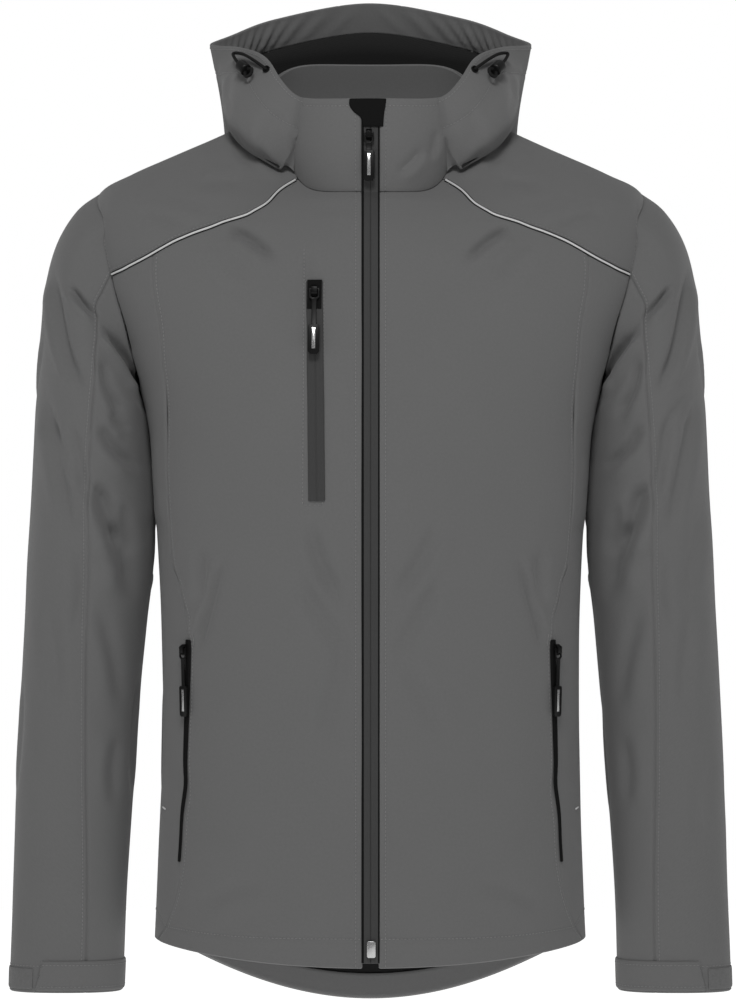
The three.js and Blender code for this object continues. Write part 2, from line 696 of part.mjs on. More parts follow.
// Chin guard over the top of the zip: its two ends across, and the share up the collar
const CHIN_GUARD = [
  [-5.6, 10, 0.7], [-7.4, 10.4, 0.79], [-13.5, 11, 0.86], [-16.9, 12, 0.93], [-16.9, 12.5, 0.995],
];
const CHIN_RADIUS = 85;
{
  const angle = (x) => (Math.asin(x / CHIN_RADIUS) * 180) / Math.PI;
  const places = CHIN_GUARD.map(([low, high, up]) => spread(low, high, 5).map((q) => [angle(q), up]));
  addCloth("chin_guard", "trim", places, collarSurface, collarNormal, {
    wall: THIN_WALL, lift: THIN_WALL + LAID, seam: 0,
  });
}

// A frame standing on a surface: right, up along the cloth, outward
function frameOn(point, normal) {
  const up = new THREE.Vector3(0, 0, 1).addScaledVector(normal, -normal.z).normalize();
  const right = up.clone().cross(normal).normalize();
  return new THREE.Matrix4().makeBasis(right, up, normal).setPosition(point);
}

// Several closed shapes made into one
function solidFrom(geometry) {
  const loose = geometry.index ? geometry.toNonIndexed() : geometry;
  const bare = new THREE.BufferGeometry();
  bare.setAttribute("position", loose.getAttribute("position"));
  const merged = mergeVertices(bare, 1e-4);
  const triVerts = new Uint32Array(merged.index.array);
  return new wasm.Manifold(
    new wasm.Mesh({ numProp: 3, vertProperties: merged.attributes.position.array, triVerts }),
  );
}
function joined(shapes) {
  const mesh = wasm.Manifold.union(shapes.map(solidFrom)).getMesh();
  const geometry = new THREE.BufferGeometry();
  geometry.setAttribute("position", new THREE.Float32BufferAttribute(mesh.vertProperties, 3));
  geometry.setIndex(Array.from(mesh.triVerts));
  geometry.computeVertexNormals();
  return geometry;
}

// Zip slider: a plate with a bridge, seen from the side and drawn out across
const SLIDER = { wide: 5, high: 9.5, plate: 1.4, bridge: 4.5, bar: 0.9, hinge: 0.4, hingeOut: 2.5 };
const PULL = {
  ringWide: 8.6, hole: 6, holeHigh: 7, bar: 1.1, thick: 1.3, linkWide: 4, tabWide: 9.5, tabThick: 2.4,
};
function sliderGeometry() {
  const { wide, high, plate, bridge, bar } = SLIDER;
  const side = new THREE.Shape();
  side.moveTo(0, -high / 2);
  side.lineTo(0, high / 2);
  side.lineTo(plate, high / 2);
  side.lineTo(bridge, high / 2 - 2.2);
  side.lineTo(bridge, -high / 2 + 2.2);
  side.lineTo(plate, -high / 2);
  side.closePath();
  const hole = new THREE.Path();
  hole.moveTo(plate, high / 2 - 1.6);
  hole.lineTo(plate, -high / 2 + 1.6);
  hole.lineTo(bridge - bar, -high / 2 + 2.7);
  hole.lineTo(bridge - bar, high / 2 - 2.7);
  hole.closePath();
  side.holes.push(hole);
  const geometry = new THREE.ExtrudeGeometry(side, { depth: wide, bevelEnabled: false });
  // The drawing's across is outward and its depth runs sideways
  const turn = new THREE.Matrix4().makeBasis(
    new THREE.Vector3(0, 0, 1), new THREE.Vector3(0, 1, 0), new THREE.Vector3(-1, 0, 0),
  );
  return geometry.applyMatrix4(turn).translate(wide / 2, 0, 0);
}

// Pull: ring through the bridge, cord link and moulded tab in one hanging piece
function pullGeometry(linkLong, tabLong) {
  const { ringWide, hole, holeHigh, bar, thick, linkWide, tabWide, tabThick } = PULL;
  const [r, l, t] = [ringWide / 2, linkWide / 2, tabWide / 2];
  const low = -holeHigh - bar;
  const flat = new THREE.Shape();
  flat.moveTo(-r, bar);
  flat.lineTo(-r, low + 1.5);
  flat.lineTo(-l, low - 0.6);
  flat.lineTo(-l, low - linkLong);
  flat.lineTo(l, low - linkLong);
  flat.lineTo(l, low - 0.6);
  flat.lineTo(r, low + 1.5);
  flat.lineTo(r, bar);
  flat.closePath();
  const open = new THREE.Path();
  open.moveTo(-hole / 2, 0);
  open.lineTo(hole / 2, 0);
  open.lineTo(hole / 2, -holeHigh + 1);
  open.lineTo(hole / 2 - 1.4, -holeHigh);
  open.lineTo(-hole / 2 + 1.4, -holeHigh);
  open.lineTo(-hole / 2, -holeHigh + 1);
  open.closePath();
  flat.holes.push(open);
  const ring = new THREE.ExtrudeGeometry(flat, { depth: thick, bevelEnabled: false });
  const top = low - linkLong + 2;
  const end = top - tabLong;
  const tab = new THREE.Shape();
  tab.moveTo(-t + 1.2, top);
  tab.lineTo(t - 1.2, top);
  tab.lineTo(t, top - 1.2);
  tab.lineTo(t, end + 1.8);
  tab.lineTo(t - 1.8, end);
  tab.lineTo(-t + 1.8, end);
  tab.lineTo(-t, end + 1.8);
  tab.lineTo(-t, top - 1.2);
  tab.closePath();
  const block = new THREE.ExtrudeGeometry(tab, { depth: tabThick, bevelEnabled: false });
  block.translate(0, 0, (thick - tabThick) / 2);
  return joined([ring, block]);
}
// Places a slider and its pull on a surface point, lifted off the cloth
function addZipPull(name, point, normal, lift, size) {
  const frame = frameOn(point.clone().addScaledVector(normal, lift), normal);
  addMesh(name + "_slider", "trim", sliderGeometry().applyMatrix4(frame));
  const pull = pullGeometry(size.link, size.tab);
  pull.translate(0, SLIDER.hinge, SLIDER.hingeOut - PULL.thick / 2);
  const mesh = addMesh(name + "_pull", "trim", pull.applyMatrix4(frame));
  const pin = new THREE.Vector3(0, SLIDER.hinge + PULL.bar / 2, SLIDER.hingeOut);
  const across = new THREE.Vector3().setFromMatrixColumn(frame, 0);
  mesh.userData.hinge = {
    at: pin.applyMatrix4(frame).toArray(),
    axis: across.negate().toArray(),
  };
}
const mirroredX = (v) => new THREE.Vector3(-v.x, v.y, v.z);

// Front zip slider, pull and bottom box
const FRONT_PULL = { x: -1.4, up: NECK_ROW + 0.61, link: 8, tab: 26 };
const ZIP_BOX = { x: 0.6, up: 0.2, wide: 7.4, high: 14, thick: 2.4 };
addZipPull(
  "zip",
  stripPoint(FRONT_PULL.x, FRONT_PULL.up),
  stripNormal(0, FRONT_PULL.up),
  LAID - TAPE_SUNK,
  FRONT_PULL,
);
function chamferedPlate(wide, high, thick, cut) {
  const [w, h] = [wide / 2, high / 2];
  const shape = new THREE.Shape();
  const corners = [
    [-w + cut, -h], [w - cut, -h], [w, -h + cut], [w, h - cut],
    [w - cut, h], [-w + cut, h], [-w, h - cut], [-w, -h + cut],
  ];
  corners.forEach(([x, y], i) => (i ? shape.lineTo(x, y) : shape.moveTo(x, y)));
  shape.closePath();
  return new THREE.ExtrudeGeometry(shape, { depth: thick, bevelEnabled: false });
}
{
  const normal = stripNormal(0, ZIP_BOX.up);
  const at = stripPoint(ZIP_BOX.x, ZIP_BOX.up).addScaledVector(normal, LAID - TAPE_SUNK);
  const box = chamferedPlate(ZIP_BOX.wide, ZIP_BOX.high, ZIP_BOX.thick, 1);
  addMesh("zip_box", "metal", box.applyMatrix4(frameOn(at, normal)));
}

// Chest zip on the wearer's right
const CHEST_SLIDER = [48.4, -155];
const CHEST_PULL = { link: 24, tab: 25 };
const LAID_OUT = THIN_WALL + LAID;
{
  const { top, bottom, wide, x, lean } = CHEST_ZIP;
  const heights = spread(top, bottom, 6);
  const places = heights.map((z, i) => {
    const shift = x - (lean * i) / (heights.length - 1);
    const across = spread(shift - wide / 2, shift + wide / 2, 2);
    return across.map((q) => placeSeen(body, q, z, [15, 8], bodyLimits));
  });
  addCloth("chest_zip_tape", "zip_tape", places, body, bodyNormal, {
    wall: THIN_WALL, lift: LAID_OUT, seam: 0, sides: ["_right"],
  });
  const at = placeSeen(body, ...CHEST_SLIDER, [15, 8], bodyLimits);
  const [point, normal] = [body(...at), bodyNormal(...at)];
  addZipPull("chest_zip", mirroredX(point), mirroredX(normal), LAID_OUT + LAID, CHEST_PULL);
}

// Hand-pocket zips on the front seams
const POCKET_SLIDER = [159, -465];
const POCKET_PULL = { link: 25, tab: 26 };
{
  const line = lineSeen(body, POCKET_LINE, [65, 3], bodyLimits);
  const places = spread(0, 1, 8).map((f) => {
    const [around, up] = lineAt(line, f);
    const half = ((POCKET_WIDE / 2) * 180) / (Math.PI * POCKET_RADIUS);
    return [[around - half, up], [around + half, up]];
  });
  addCloth("pocket_zip_tape", "zip_tape", places, body, bodyNormal, {
    wall: THIN_WALL, lift: LAID_OUT, seam: 0, sides: PAIR,
  });
  const at = placeSeen(body, ...POCKET_SLIDER, [65, 3], bodyLimits);
  const [point, normal] = [body(...at), bodyNormal(...at)];
  const lift = LAID_OUT + LAID;
  addZipPull("pocket_zip_left", point, normal, lift, POCKET_PULL);
  addZipPull("pocket_zip_right", mirroredX(point), mirroredX(normal), lift, POCKET_PULL);
}

// Cuff tabs and the loop patches they close on
const CUFF_TAB = { from: -2.4, to: 9.8, slant: 0.35, top: 12.735, bottom: 12.985, thick: 1.6 };
const CUFF_LOOP = { from: 2.9, to: 12.6, slant: 0, top: 12.8, bottom: 12.975, thick: 1.1 };
const CUFF_LIFT = 0.5;
{
  // Places round the cuff in steps of the sleeve's own columns, from the front seam
  const seamTurn = frontSeam[frontSeam.length - 1][0];
  const underStep = (360 - 2 * seamTurn) / (2 * (lowerTurns.length - 1));
  const topStep = (2 * seamTurn) / (2 * (upperTurns.length - 1));
  const inner = (step) => seamTurn + step * (step >= 0 ? underStep : topStep);
  const outer = (step) => seamTurn - step * topStep;
  const stops = (from, to) => {
    const whole = spread(Math.ceil(from), Math.floor(to), Math.floor(to) - Math.ceil(from));
    return [from, ...whole.filter((w) => w > from + 0.1 && w < to - 0.1), to];
  };
  const band = (size, turn) => [size.top, size.bottom].map((down, i) => {
    const steps = stops(size.from, size.to);
    return steps.map((step, j) => [turn(j ? step : step - size.slant * i), down]);
  });
  const lay = (name, look, size, turn) => {
    addCloth(name, look, band(size, turn), sleeve, sleeveNormal, {
      wall: size.thick, lift: size.thick + CUFF_LIFT, seam: 0, sides: PAIR,
    });
  };
  lay("cuff_tab", "shell", CUFF_TAB, inner);
  lay("cuff_loop", "facing", CUFF_LOOP, outer);
}

// Hood cord locks, each with a loop of cord
const LOCK = { seen: [106, 35], radius: 5.4, half: 8, cap: 3.6, tilt: 62 };
const CORD_RADIUS = 1.4;
function cordGeometry(points, steps) {
  const ring = new THREE.Shape();
  ring.absarc(0, 0, CORD_RADIUS, 0, 2 * Math.PI, false);
  const path = new THREE.CatmullRomCurve3(points.map(([x, y, z]) => new THREE.Vector3(x, y, z)));
  return new THREE.ExtrudeGeometry(ring, {
    steps, extrudePath: path, bevelEnabled: false, curveSegments: 3,
  });
}
{
  const at = placeSeen(hood, ...LOCK.seen, [3.2, 0.85], [0.5, 6, 0.4, 0.98]);
  const [point, normal] = [hood(...at), hoodNormal(...at)];
  const { radius, half, cap } = LOCK;
  const profile = [
    [0, -half], [radius - 0.8, -half], [radius, -half + 0.8], [radius, half - 3.4],
    [radius - 0.8, half - 2.6], [cap, half - 2.6], [cap, half], [0, half],
  ];
  const outline = profile.map(([x, y]) => new THREE.Vector2(x, y));
  const barrel = () => new THREE.LatheGeometry(outline, 14);
  const loop = () => cordGeometry([
    [-2.4, -half - 0.9, 0], [-4.2, -half - 5, 0], [-1.8, -half - 9, 0], [2, -half - 9, 0],
    [4.2, -half - 5, 0], [2.4, -half - 0.9, 0],
  ], 10);
  const places = [["_left", point, normal], ["_right", mirroredX(point), mirroredX(normal)]];
  places.forEach(([side, p, n]) => {
    const frame = frameOn(p.clone().addScaledVector(n, radius + 0.8), n);
    frame.multiply(new THREE.Matrix4().makeRotationZ(radians(n.x > 0 ? -LOCK.tilt : LOCK.tilt)));
    addMesh("hood_lock" + side, "trim", barrel().applyMatrix4(frame));
    addMesh("hood_cord" + side, "trim", loop().applyMatrix4(frame));
  });
}

export default group;
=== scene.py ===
"""Hooded softshell jacket, hollow and filled out: cloth, sewing, zips, cord and materials.

Sizes are millimetres in this file and become metres where a mesh is made. X runs to the
wearer's left, Y to the back, Z up; zero is between the shoulders.
"""
import math

import bmesh
import bpy
import numpy as np
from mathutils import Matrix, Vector


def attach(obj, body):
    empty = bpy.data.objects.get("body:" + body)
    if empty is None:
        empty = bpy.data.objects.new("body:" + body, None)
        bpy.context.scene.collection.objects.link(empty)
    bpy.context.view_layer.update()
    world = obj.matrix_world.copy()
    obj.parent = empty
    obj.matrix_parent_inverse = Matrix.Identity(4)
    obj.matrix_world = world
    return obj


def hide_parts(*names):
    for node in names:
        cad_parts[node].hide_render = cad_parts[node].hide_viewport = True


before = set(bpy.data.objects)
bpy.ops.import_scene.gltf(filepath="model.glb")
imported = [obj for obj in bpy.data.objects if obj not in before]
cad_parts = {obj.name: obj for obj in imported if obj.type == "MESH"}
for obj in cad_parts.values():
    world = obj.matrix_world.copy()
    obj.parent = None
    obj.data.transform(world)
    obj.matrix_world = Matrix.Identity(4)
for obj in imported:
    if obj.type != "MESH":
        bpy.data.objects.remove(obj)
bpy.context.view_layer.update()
MM = 0.001

# The photograph's eye, and how its frame measures the jacket
EYE_DISTANCE = 4000.0
EYE_HEIGHT = -336.0
CAMERA_ASIDE = -2.16
CAMERA_UP = -335.62
MM_PER_PIXEL = 0.865
FRAME_HIGH = 1000
SENSOR = 36.0

# Cloth
WALL = 2.0
THIN_WALL = 1.2
HOOD_WALL = 1.2
LAID = 0.35
SEAM_GAP = 0.12

# Rings of the body from the hem up to the neck seam
RING_COLUMNS = ("half", "sideY", "sideZ", "frontY", "frontZ", "backY", "backZ", "square", "dip")
RINGS = [
    (186, 0, -712, -122, -728, 112, -778, 2.4, 2),
    (183, 0, -640, -124, -650, 113, -676, 2.4, 2),
    (180.5, 0, -560, -126, -566, 113, -576, 2.4, 2),
    (179.8, 0, -480, -129, -484, 115, -487, 2.4, 2),
    (182, 0, -400, -133, -402, 120, -402, 2.4, 2),
    (187, 0, -320, -137, -321, 126, -320, 2.4, 2),
    (192, 0, -256, -138, -258, 130, -252, 2.35, 2),
    (213, 1, -205, -136, -212, 131, -204, 2.3, 2),
    (236, 2, -150, -130, -170, 129, -160, 2.3, 2),
    (241, 3, -104, -122, -137, 124, -120, 2.3, 2),
    (234, 4, -71, -113, -114, 115, -90, 2.3, 2.2),
    (205, 5, -54, -105, -100, 104, -68, 2.3, 2.6),
    (165, 6, -36, -97, -90, 92, -48, 2.3, 3.4),
    (122, 7, -17, -89, -81, 79, -30, 2.3, 5),
    (80, 6, 1, -80, -74, 64, -13, 2.3, 7),
]
NECK_ROW = len(RINGS) - 1
COLLAR_TOP = [(87, 2, 27, -76, 5, 57, 46, 2.2, 6)]
COLLAR_LEAN = 3.0

# Seams as they show from the front: outwards from the middle, and up from zero
ARMHOLE_FRONT = [
    (233, -69), (231.5, -92), (229.7, -116), (224.5, -141), (215, -176.5),
    (208, -203.3), (200.5, -228), (194, -245),
]
PIPING_LINE = [
    (68.8, -58), (86.9, -76.1), (104.2, -87.4), (130.2, -96), (153.5, -104.7),
    (188.1, -122), (210.6, -134.1), (224.5, -141),
]
PRINCESS_SEAM = [
    (185.5, -713), (176, -702), (166, -668), (160.5, -610), (158.7, -545),
    (157, -457), (165, -411), (172.6, -377), (176, -275), (179.5, -223),
    (184.7, -174), (188.1, -122),
]
SLEEVE_SEAM = [
    (224.5, -141), (232, -156), (237.5, -169), (236, -181), (237.2, -206.7),
    (240.9, -264.7), (243.5, -326.1), (244.8, -418.7), (246.1, -542.4),
    (244.8, -666), (246.5, -757),
]
POCKET_LINE = [(157, -457), (158.7, -528.5), (160.5, -583), (164.8, -648)]
PIPING_TURN = 5
ARMHOLE_TURN = 3
BACK_YOKE_UP = 9.1
YOKE_CROWD = 1.6

# Sleeve sections from the armhole to the cuff
SLEEVE_COLUMNS = ("outX", "outZ", "inX", "inZ", "midY", "deep", "square")
SLEEVE_ROWS = [
    (233, -69, 193.3, -251, 3, 76, 2),
    (253, -84, 196, -254, 5, 77, 2),
    (270, -112, 196.5, -257, 7, 78, 2),
    (280.5, -150, 196.3, -261, 8, 78, 2),
    (285.5, -192, 193.6, -268, 9, 77, 2),
    (288.8, -232, 191.8, -282, 10, 75.5, 2.05),
    (291.5, -276, 189.9, -303, 11, 73, 2.1),
    (294, -325, 187.3, -338, 13, 69, 2.1),
    (297.3, -385, 187.9, -388, 15, 63, 2.15),
    (299.6, -440, 194, -441, 15, 58, 2.2),
    (303, -505, 199.8, -505, 11, 53, 2.25),
    (306.8, -580, 204.8, -580, 5, 47, 2.3),
    (308.4, -660, 210.2, -660, -2, 40, 2.35),
    (311, -757, 213.4, -757, -9, 33.5, 2.4),
]
CUFF_ROW = len(SLEEVE_ROWS) - 1
SLEEVE_FADE_ROWS = 4
ARMPIT_STAND = 1.4
SHOULDER_STAND = 0.3
ARMPIT_HALF, ARMPIT_FADE = 20, 60

# Hood sections from the front end, on the collar, round to the middle of the back
HOOD_COLUMNS = (
    "around", "restAround", "restUp", "clear", "outX", "outY", "outZ", "edgeX", "edgeY", "edgeZ",
)
HOOD_ROWS = [
    (50, 49, 13.84, 4.5, 61.8, -63.6, -22, 57.3, -63.6, 6),
    (56, 53, 13.56, 5, 100, -61, -24, 67, -60, 12),
    (66, 63, 13.12, 5, 119, -42, -6, 78, -51, 25),
    (78, 76, 13.0, 5, 125, -13, 12, 92, -25, 46),
    (92, 96, 13.0, 4.8, 129, 16, 26, 114, 10, 57),
    (108, 114, 13.0, 6, 132, 48, 21, 141, 43, 62),
    (128, 134, 12.0, 7.5, 127, 95, 6, 125, 84, 74),
    (152, 158, 10.1, 8.5, 88, 147, -15, 83, 124, 93.5),
    (180, 180, 9.0, 9, 0, 174, -40, 0, 141, 109),
]
HOOD_NECK_UP = 13.86
HOOD_SIDE_END = 7.68
HOOD_END = len(HOOD_ROWS) - 1
FACING_WIDE = 25.0
# Shares at which a section rests on the body; two more points turn it out and up
HOOD_RESTS = (0, 0.34, 0.68, 1)
HOOD_SPANS = len(HOOD_RESTS) + 1

# Front zip
ZIP_HALF = 7.7
TAPE_SUNK = 0.6


# Numbers

def mix(a, b, f):
    """The value a share f of the way from a to b."""
    return a + (b - a) * f


def smooth(f):
    """A soft step: 0 below 0, 1 above 1, and 3f^2 - 2f^3 between."""
    f = np.clip(f, 0, 1)
    return f * f * (3 - 2 * f)


def bell(x):
    """A soft bump: exp of minus x squared."""
    return np.exp(-np.square(x))


def flip_of(side):
    """Signs that turn a point of the wearer's left to the named side."""
    return np.array([-1.0 if side == "right" else 1.0, 1, 1])


def unit(v):
    """Vectors of length one."""
    return v / np.maximum(np.linalg.norm(v, axis=-1, keepdims=True), 1e-12)


def cubic(p0, p1, p2, p3, f):
    """The cubic from p1 to p2 at share f, with the slopes that p0 and p3 give its ends."""
    b = p2 - p0
    c = 2 * p0 - 5 * p1 + 4 * p2 - p3
    d = 3 * p1 - p0 - 3 * p2 + p3
    return 0.5 * (2 * p1 + b * f + c * f ** 2 + d * f ** 3)


def through(values, s):
    """Smooth curve through rows of values one step apart: the cubic that passes each row with
    the slope between its neighbours, straight past the first and last."""
    values, s = np.asarray(values, float), np.asarray(s, float)
    last = len(values) - 1
    if last == 0:
        return np.broadcast_to(values[0], s.shape + values.shape[1:])
    i = np.clip(np.floor(s).astype(int), 0, last - 1)
    f = (s - i).reshape(s.shape + (1,) * (values.ndim - 1))
    before, after = 2 * values[:1] - values[1:2], 2 * values[-1:] - values[-2:-1]
    ahead = np.concatenate([before, values, after])
    return cubic(*(ahead[i + k] for k in range(4)), f)


def row_of(columns, table, s):
    """The row of a table at any place between its rows, by column name."""
    values = through(np.array(table, float), s)
    return {name: values[..., k] for k, name in enumerate(columns)}


# Surfaces: each gives points for arrays of two numbers

def squareness(sine, cosine, power):
    """The length of a direction measured by a squared-off circle."""
    return (np.abs(sine) ** power + np.abs(cosine) ** power) ** (1 / power)


def ring_point(row, around):
    """A ring's point, turned round from the front towards the wearer's left: a squared-off
    oval whose height turns from the side's to the front's or the back's."""
    sine, cosine = np.sin(np.radians(around)), np.cos(np.radians(around))
    long = squareness(sine, cosine, row["square"])
    across, ahead = sine / long, np.abs(cosine / long)
    rise = 1 - np.abs(across) ** row["dip"]
    front = cosine > 0
    y = mix(row["sideY"], np.where(front, row["frontY"], row["backY"]), ahead)
    z = mix(row["sideZ"], np.where(front, row["frontZ"], row["backZ"]), rise)
    return np.stack([row["half"] * across, y, z], axis=-1)


def body(around, up):
    """The body: the ring at height up."""
    around, up = np.broadcast_arrays(np.asarray(around, float), np.asarray(up, float))
    return ring_point(row_of(RING_COLUMNS, RINGS, up), around)


def collar(around, up):
    """The collar: from the neck ring straight up to its upper edge, bowed out a little."""
    around, up = np.broadcast_arrays(np.asarray(around, float), np.asarray(up, float))
    low = ring_point(row_of(RING_COLUMNS, RINGS, np.full(up.shape, float(NECK_ROW))), around)
    high = ring_point(row_of(RING_COLUMNS, COLLAR_TOP, up), around)
    point = mix(low, high, up[..., None])
    out = unit(point * np.array([1.0, 1.0, 0.0]))
    return point + out * (COLLAR_LEAN * np.sin(math.pi * up))[..., None]


def normals_of(surface, a, b, step_a, step_b):
    """Outward directions of a surface: across the two ways along it."""
    da = surface(a + step_a, b) - surface(a - step_a, b)
    db = surface(a, b + step_b) - surface(a, b - step_b)
    return unit(np.cross(da, db))


def body_normal(around, up):
    """Outward directions on the body."""
    return normals_of(body, around, np.clip(up, 0.01, NECK_ROW - 0.01), 0.2, 0.01)


def collar_normal(around, up):
    """Outward directions on the collar."""
    return normals_of(collar, around, np.clip(up, 0.01, 0.99), 0.2, 0.01)


def seen(points):
    """What the front shows of points: outwards and up, as the eye sees them."""
    near = EYE_DISTANCE / (EYE_DISTANCE + points[..., 1])
    return np.stack([points[..., 0] * near, EYE_HEIGHT + (points[..., 2] - EYE_HEIGHT) * near], -1)


SLOPE_A, SLOPE_B = 0.05, 0.005
MOST_STEPS, CLOSE_ENOUGH = 60, 0.01
LONGEST_STEP = np.array([4, 0.4])


def place_seen(surface, target, guess, limits):
    """The place on a surface that shows at a target, stepped to from a guess by the slopes."""
    place = np.array(guess, float)
    steps = np.array([[0.0, 0.0], [SLOPE_A, 0.0], [0.0, SLOPE_B]])
    for _ in range(MOST_STEPS):
        here, ahead, above = seen(surface(place[0] + steps[:, 0], place[1] + steps[:, 1]))
        slopes = np.column_stack([(ahead - here) / SLOPE_A, (above - here) / SLOPE_B])
        error = np.array(target) - here
        if np.hypot(*error) < CLOSE_ENOUGH or abs(np.linalg.det(slopes)) < 1e-9:
            break
        move = np.clip(np.linalg.solve(slopes, error), -LONGEST_STEP, LONGEST_STEP)
        place = np.clip(place + move, limits[0::2], limits[1::2])
    return place


def line_seen(surface, points, guess, limits):
    """Places on a surface under points that show from the front, each found from the last."""
    places = []
    for point in points:
        guess = place_seen(surface, point, guess, limits)
        places.append(guess)
    return np.array(places)


def line_at(places, share):
    """A smooth line through places, at shares from 0 to 1."""
    return through(places, np.asarray(share, float) * (len(places) - 1))


# Seam lines on the body
BODY_LIMITS = (0, 90, 0, NECK_ROW)
piping = line_seen(body, PIPING_LINE, (50, 13.8), BODY_LIMITS)
princess = line_seen(body, PRINCESS_SEAM[:0:-1], (60, 9.5), BODY_LIMITS)[::-1]
princess = np.vstack([[74, 0], princess])
armhole_front = line_seen(body, ARMHOLE_FRONT[1:], (68.5, 9.3), BODY_LIMITS)
armhole_front = np.vstack([[90, 10.05], armhole_front])
armhole_front[-1] = (90, 6.12)
piping[0, 1] = NECK_ROW
piping[-1] = armhole_front[ARMHOLE_TURN]
princess[-1] = piping[PIPING_TURN]
armhole_back = armhole_front * (-1, 1) + (180, 0)
back_yoke = np.array([
    armhole_back[ARMHOLE_TURN],
    (mix(armhole_back[ARMHOLE_TURN][0], 180, 0.5), BACK_YOKE_UP),
    (180, BACK_YOKE_UP),
])
PIPE_TURN_SHARE = PIPING_TURN / (len(PIPING_LINE) - 1)
TURN_JOIN = 180 * ARMHOLE_TURN / (len(ARMHOLE_FRONT) - 1)


def armhole_place(turn):
    """The armhole: 0 at the shoulder, 90 in front, 180 under the arm, 270 behind."""
    t = np.mod(np.asarray(turn, float), 360)[..., None]
    front = line_at(armhole_front, t[..., 0] / 180)
    back = line_at(armhole_back, (360 - t[..., 0]) / 180)
    return np.where(t <= 180, front, back)


def sleeve_oval(row, turn):
    """A sleeve section: a squared-off oval from the outer line to the inner line."""
    sine, cosine = np.sin(np.radians(turn)), np.cos(np.radians(turn))
    long = squareness(sine, cosine, row["square"])
    side = (cosine / long + 1) / 2
    return np.stack([
        mix(row["inX"], row["outX"], side),
        row["midY"] - row["deep"] * sine / long,
        mix(row["inZ"], row["outZ"], side),
    ], axis=-1)


def sleeve(turn, down):
    """The sleeve: its sections, drawn over to the armhole within the first rows."""
    turn, down = np.broadcast_arrays(np.asarray(turn, float), np.asarray(down, float))
    at = np.clip(down, 0, CUFF_ROW)
    oval = sleeve_oval(row_of(SLEEVE_COLUMNS, SLEEVE_ROWS, at), turn)
    fade = smooth(1 - at / SLEEVE_FADE_ROWS)[..., None]
    start = sleeve_oval(row_of(SLEEVE_COLUMNS, SLEEVE_ROWS, np.zeros(at.shape)), turn)
    place = armhole_place(turn)
    past = smooth((np.abs(np.mod(turn, 360) - 180) - ARMPIT_HALF) / ARMPIT_FADE)
    stand = mix(ARMPIT_STAND, SHOULDER_STAND, past)[..., None]
    hole = body(place[..., 0], place[..., 1]) + body_normal(place[..., 0], place[..., 1]) * stand
    return oval + (hole - start) * fade


def sleeve_normal(turn, down):
    """Outward directions on the sleeve."""
    return normals_of(sleeve, turn, np.clip(down, 0.02, CUFF_ROW - 0.02), 0.5, 0.02)


SLEEVE_LIMITS = (0, 180, 0, CUFF_ROW)
sleeve_seam = line_seen(sleeve, SLEEVE_SEAM[1:], (TURN_JOIN, 0.5), SLEEVE_LIMITS)
sleeve_seam = np.vstack([[TURN_JOIN, 0], sleeve_seam])
sleeve_seam[-1, 1] = CUFF_ROW


def hood_sections():
    """The hood's sections as points from the neck seam out over the body and up to the edge."""
    table = np.array(HOOD_ROWS, float)
    beyond = table[-2] * [-1 if name.endswith("X") else 1 for name in HOOD_COLUMNS]
    beyond[:2] = 360 - beyond[:2]
    return np.vstack([table, beyond])


HOOD_ALL = hood_sections()


def station_of(s):
    """A place along the hood as counted from the nearer front end."""
    return np.where(s > HOOD_END, 2 * HOOD_END - s, s)


def hood(s, share):
    """The hood: sections s from the front end round to the far end, share from neck to edge.
    A section rests on the body in four points, then turns out and up to its edge."""
    s, share = np.broadcast_arrays(np.asarray(s, float), np.asarray(share, float))
    far, station = s > HOOD_END, station_of(s)
    row = row_of(HOOD_COLUMNS, HOOD_ALL, station)
    points = []
    for f in HOOD_RESTS:
        around = mix(row["around"], row["restAround"], f)
        up = mix(HOOD_NECK_UP, row["restUp"], f)
        points.append(body(around, up) + body_normal(around, up) * row["clear"][..., None])
    out = np.stack([row["outX"], row["outY"], row["outZ"]], -1)
    edge = np.stack([row["edgeX"], row["edgeY"], row["edgeZ"]], -1)
    end = (np.clip(1 - station, 0, 1) ** 2)[..., None]
    first = points[0]
    points = [mix(p, mix(first, out, k / 4), end) for k, p in enumerate(points)] + [out, edge]
    ahead = np.stack([2 * points[0] - points[1], *points, 2 * points[-1] - points[-2]])
    at = share * (len(points) - 1)
    i = np.clip(np.floor(at).astype(int), 0, len(points) - 2)
    f = (at - i)[..., None]
    knots = (np.take_along_axis(ahead, (i + k)[None, ..., None], axis=0)[0] for k in range(4))
    one = np.ones(s.shape)
    return cubic(*knots, f) * np.stack([np.where(far, -1, 1), one, one], -1)


def hood_normal(s, share):
    """Outward directions on the hood."""
    at = np.clip(s, 0.02, 2 * HOOD_END - 0.02)
    return normals_of(hood, at, np.clip(share, 0.01, 0.99), 0.02, 0.01)


def facing_start(s):
    """The share of a hood section where the facing begins, FACING_WIDE below the edge."""
    row = row_of(HOOD_COLUMNS, HOOD_ALL, station_of(s))
    wide = np.sqrt(sum((row["out" + k] - row["edge" + k]) ** 2 for k in "XYZ"))
    return 1 - FACING_WIDE / wide / HOOD_SPANS


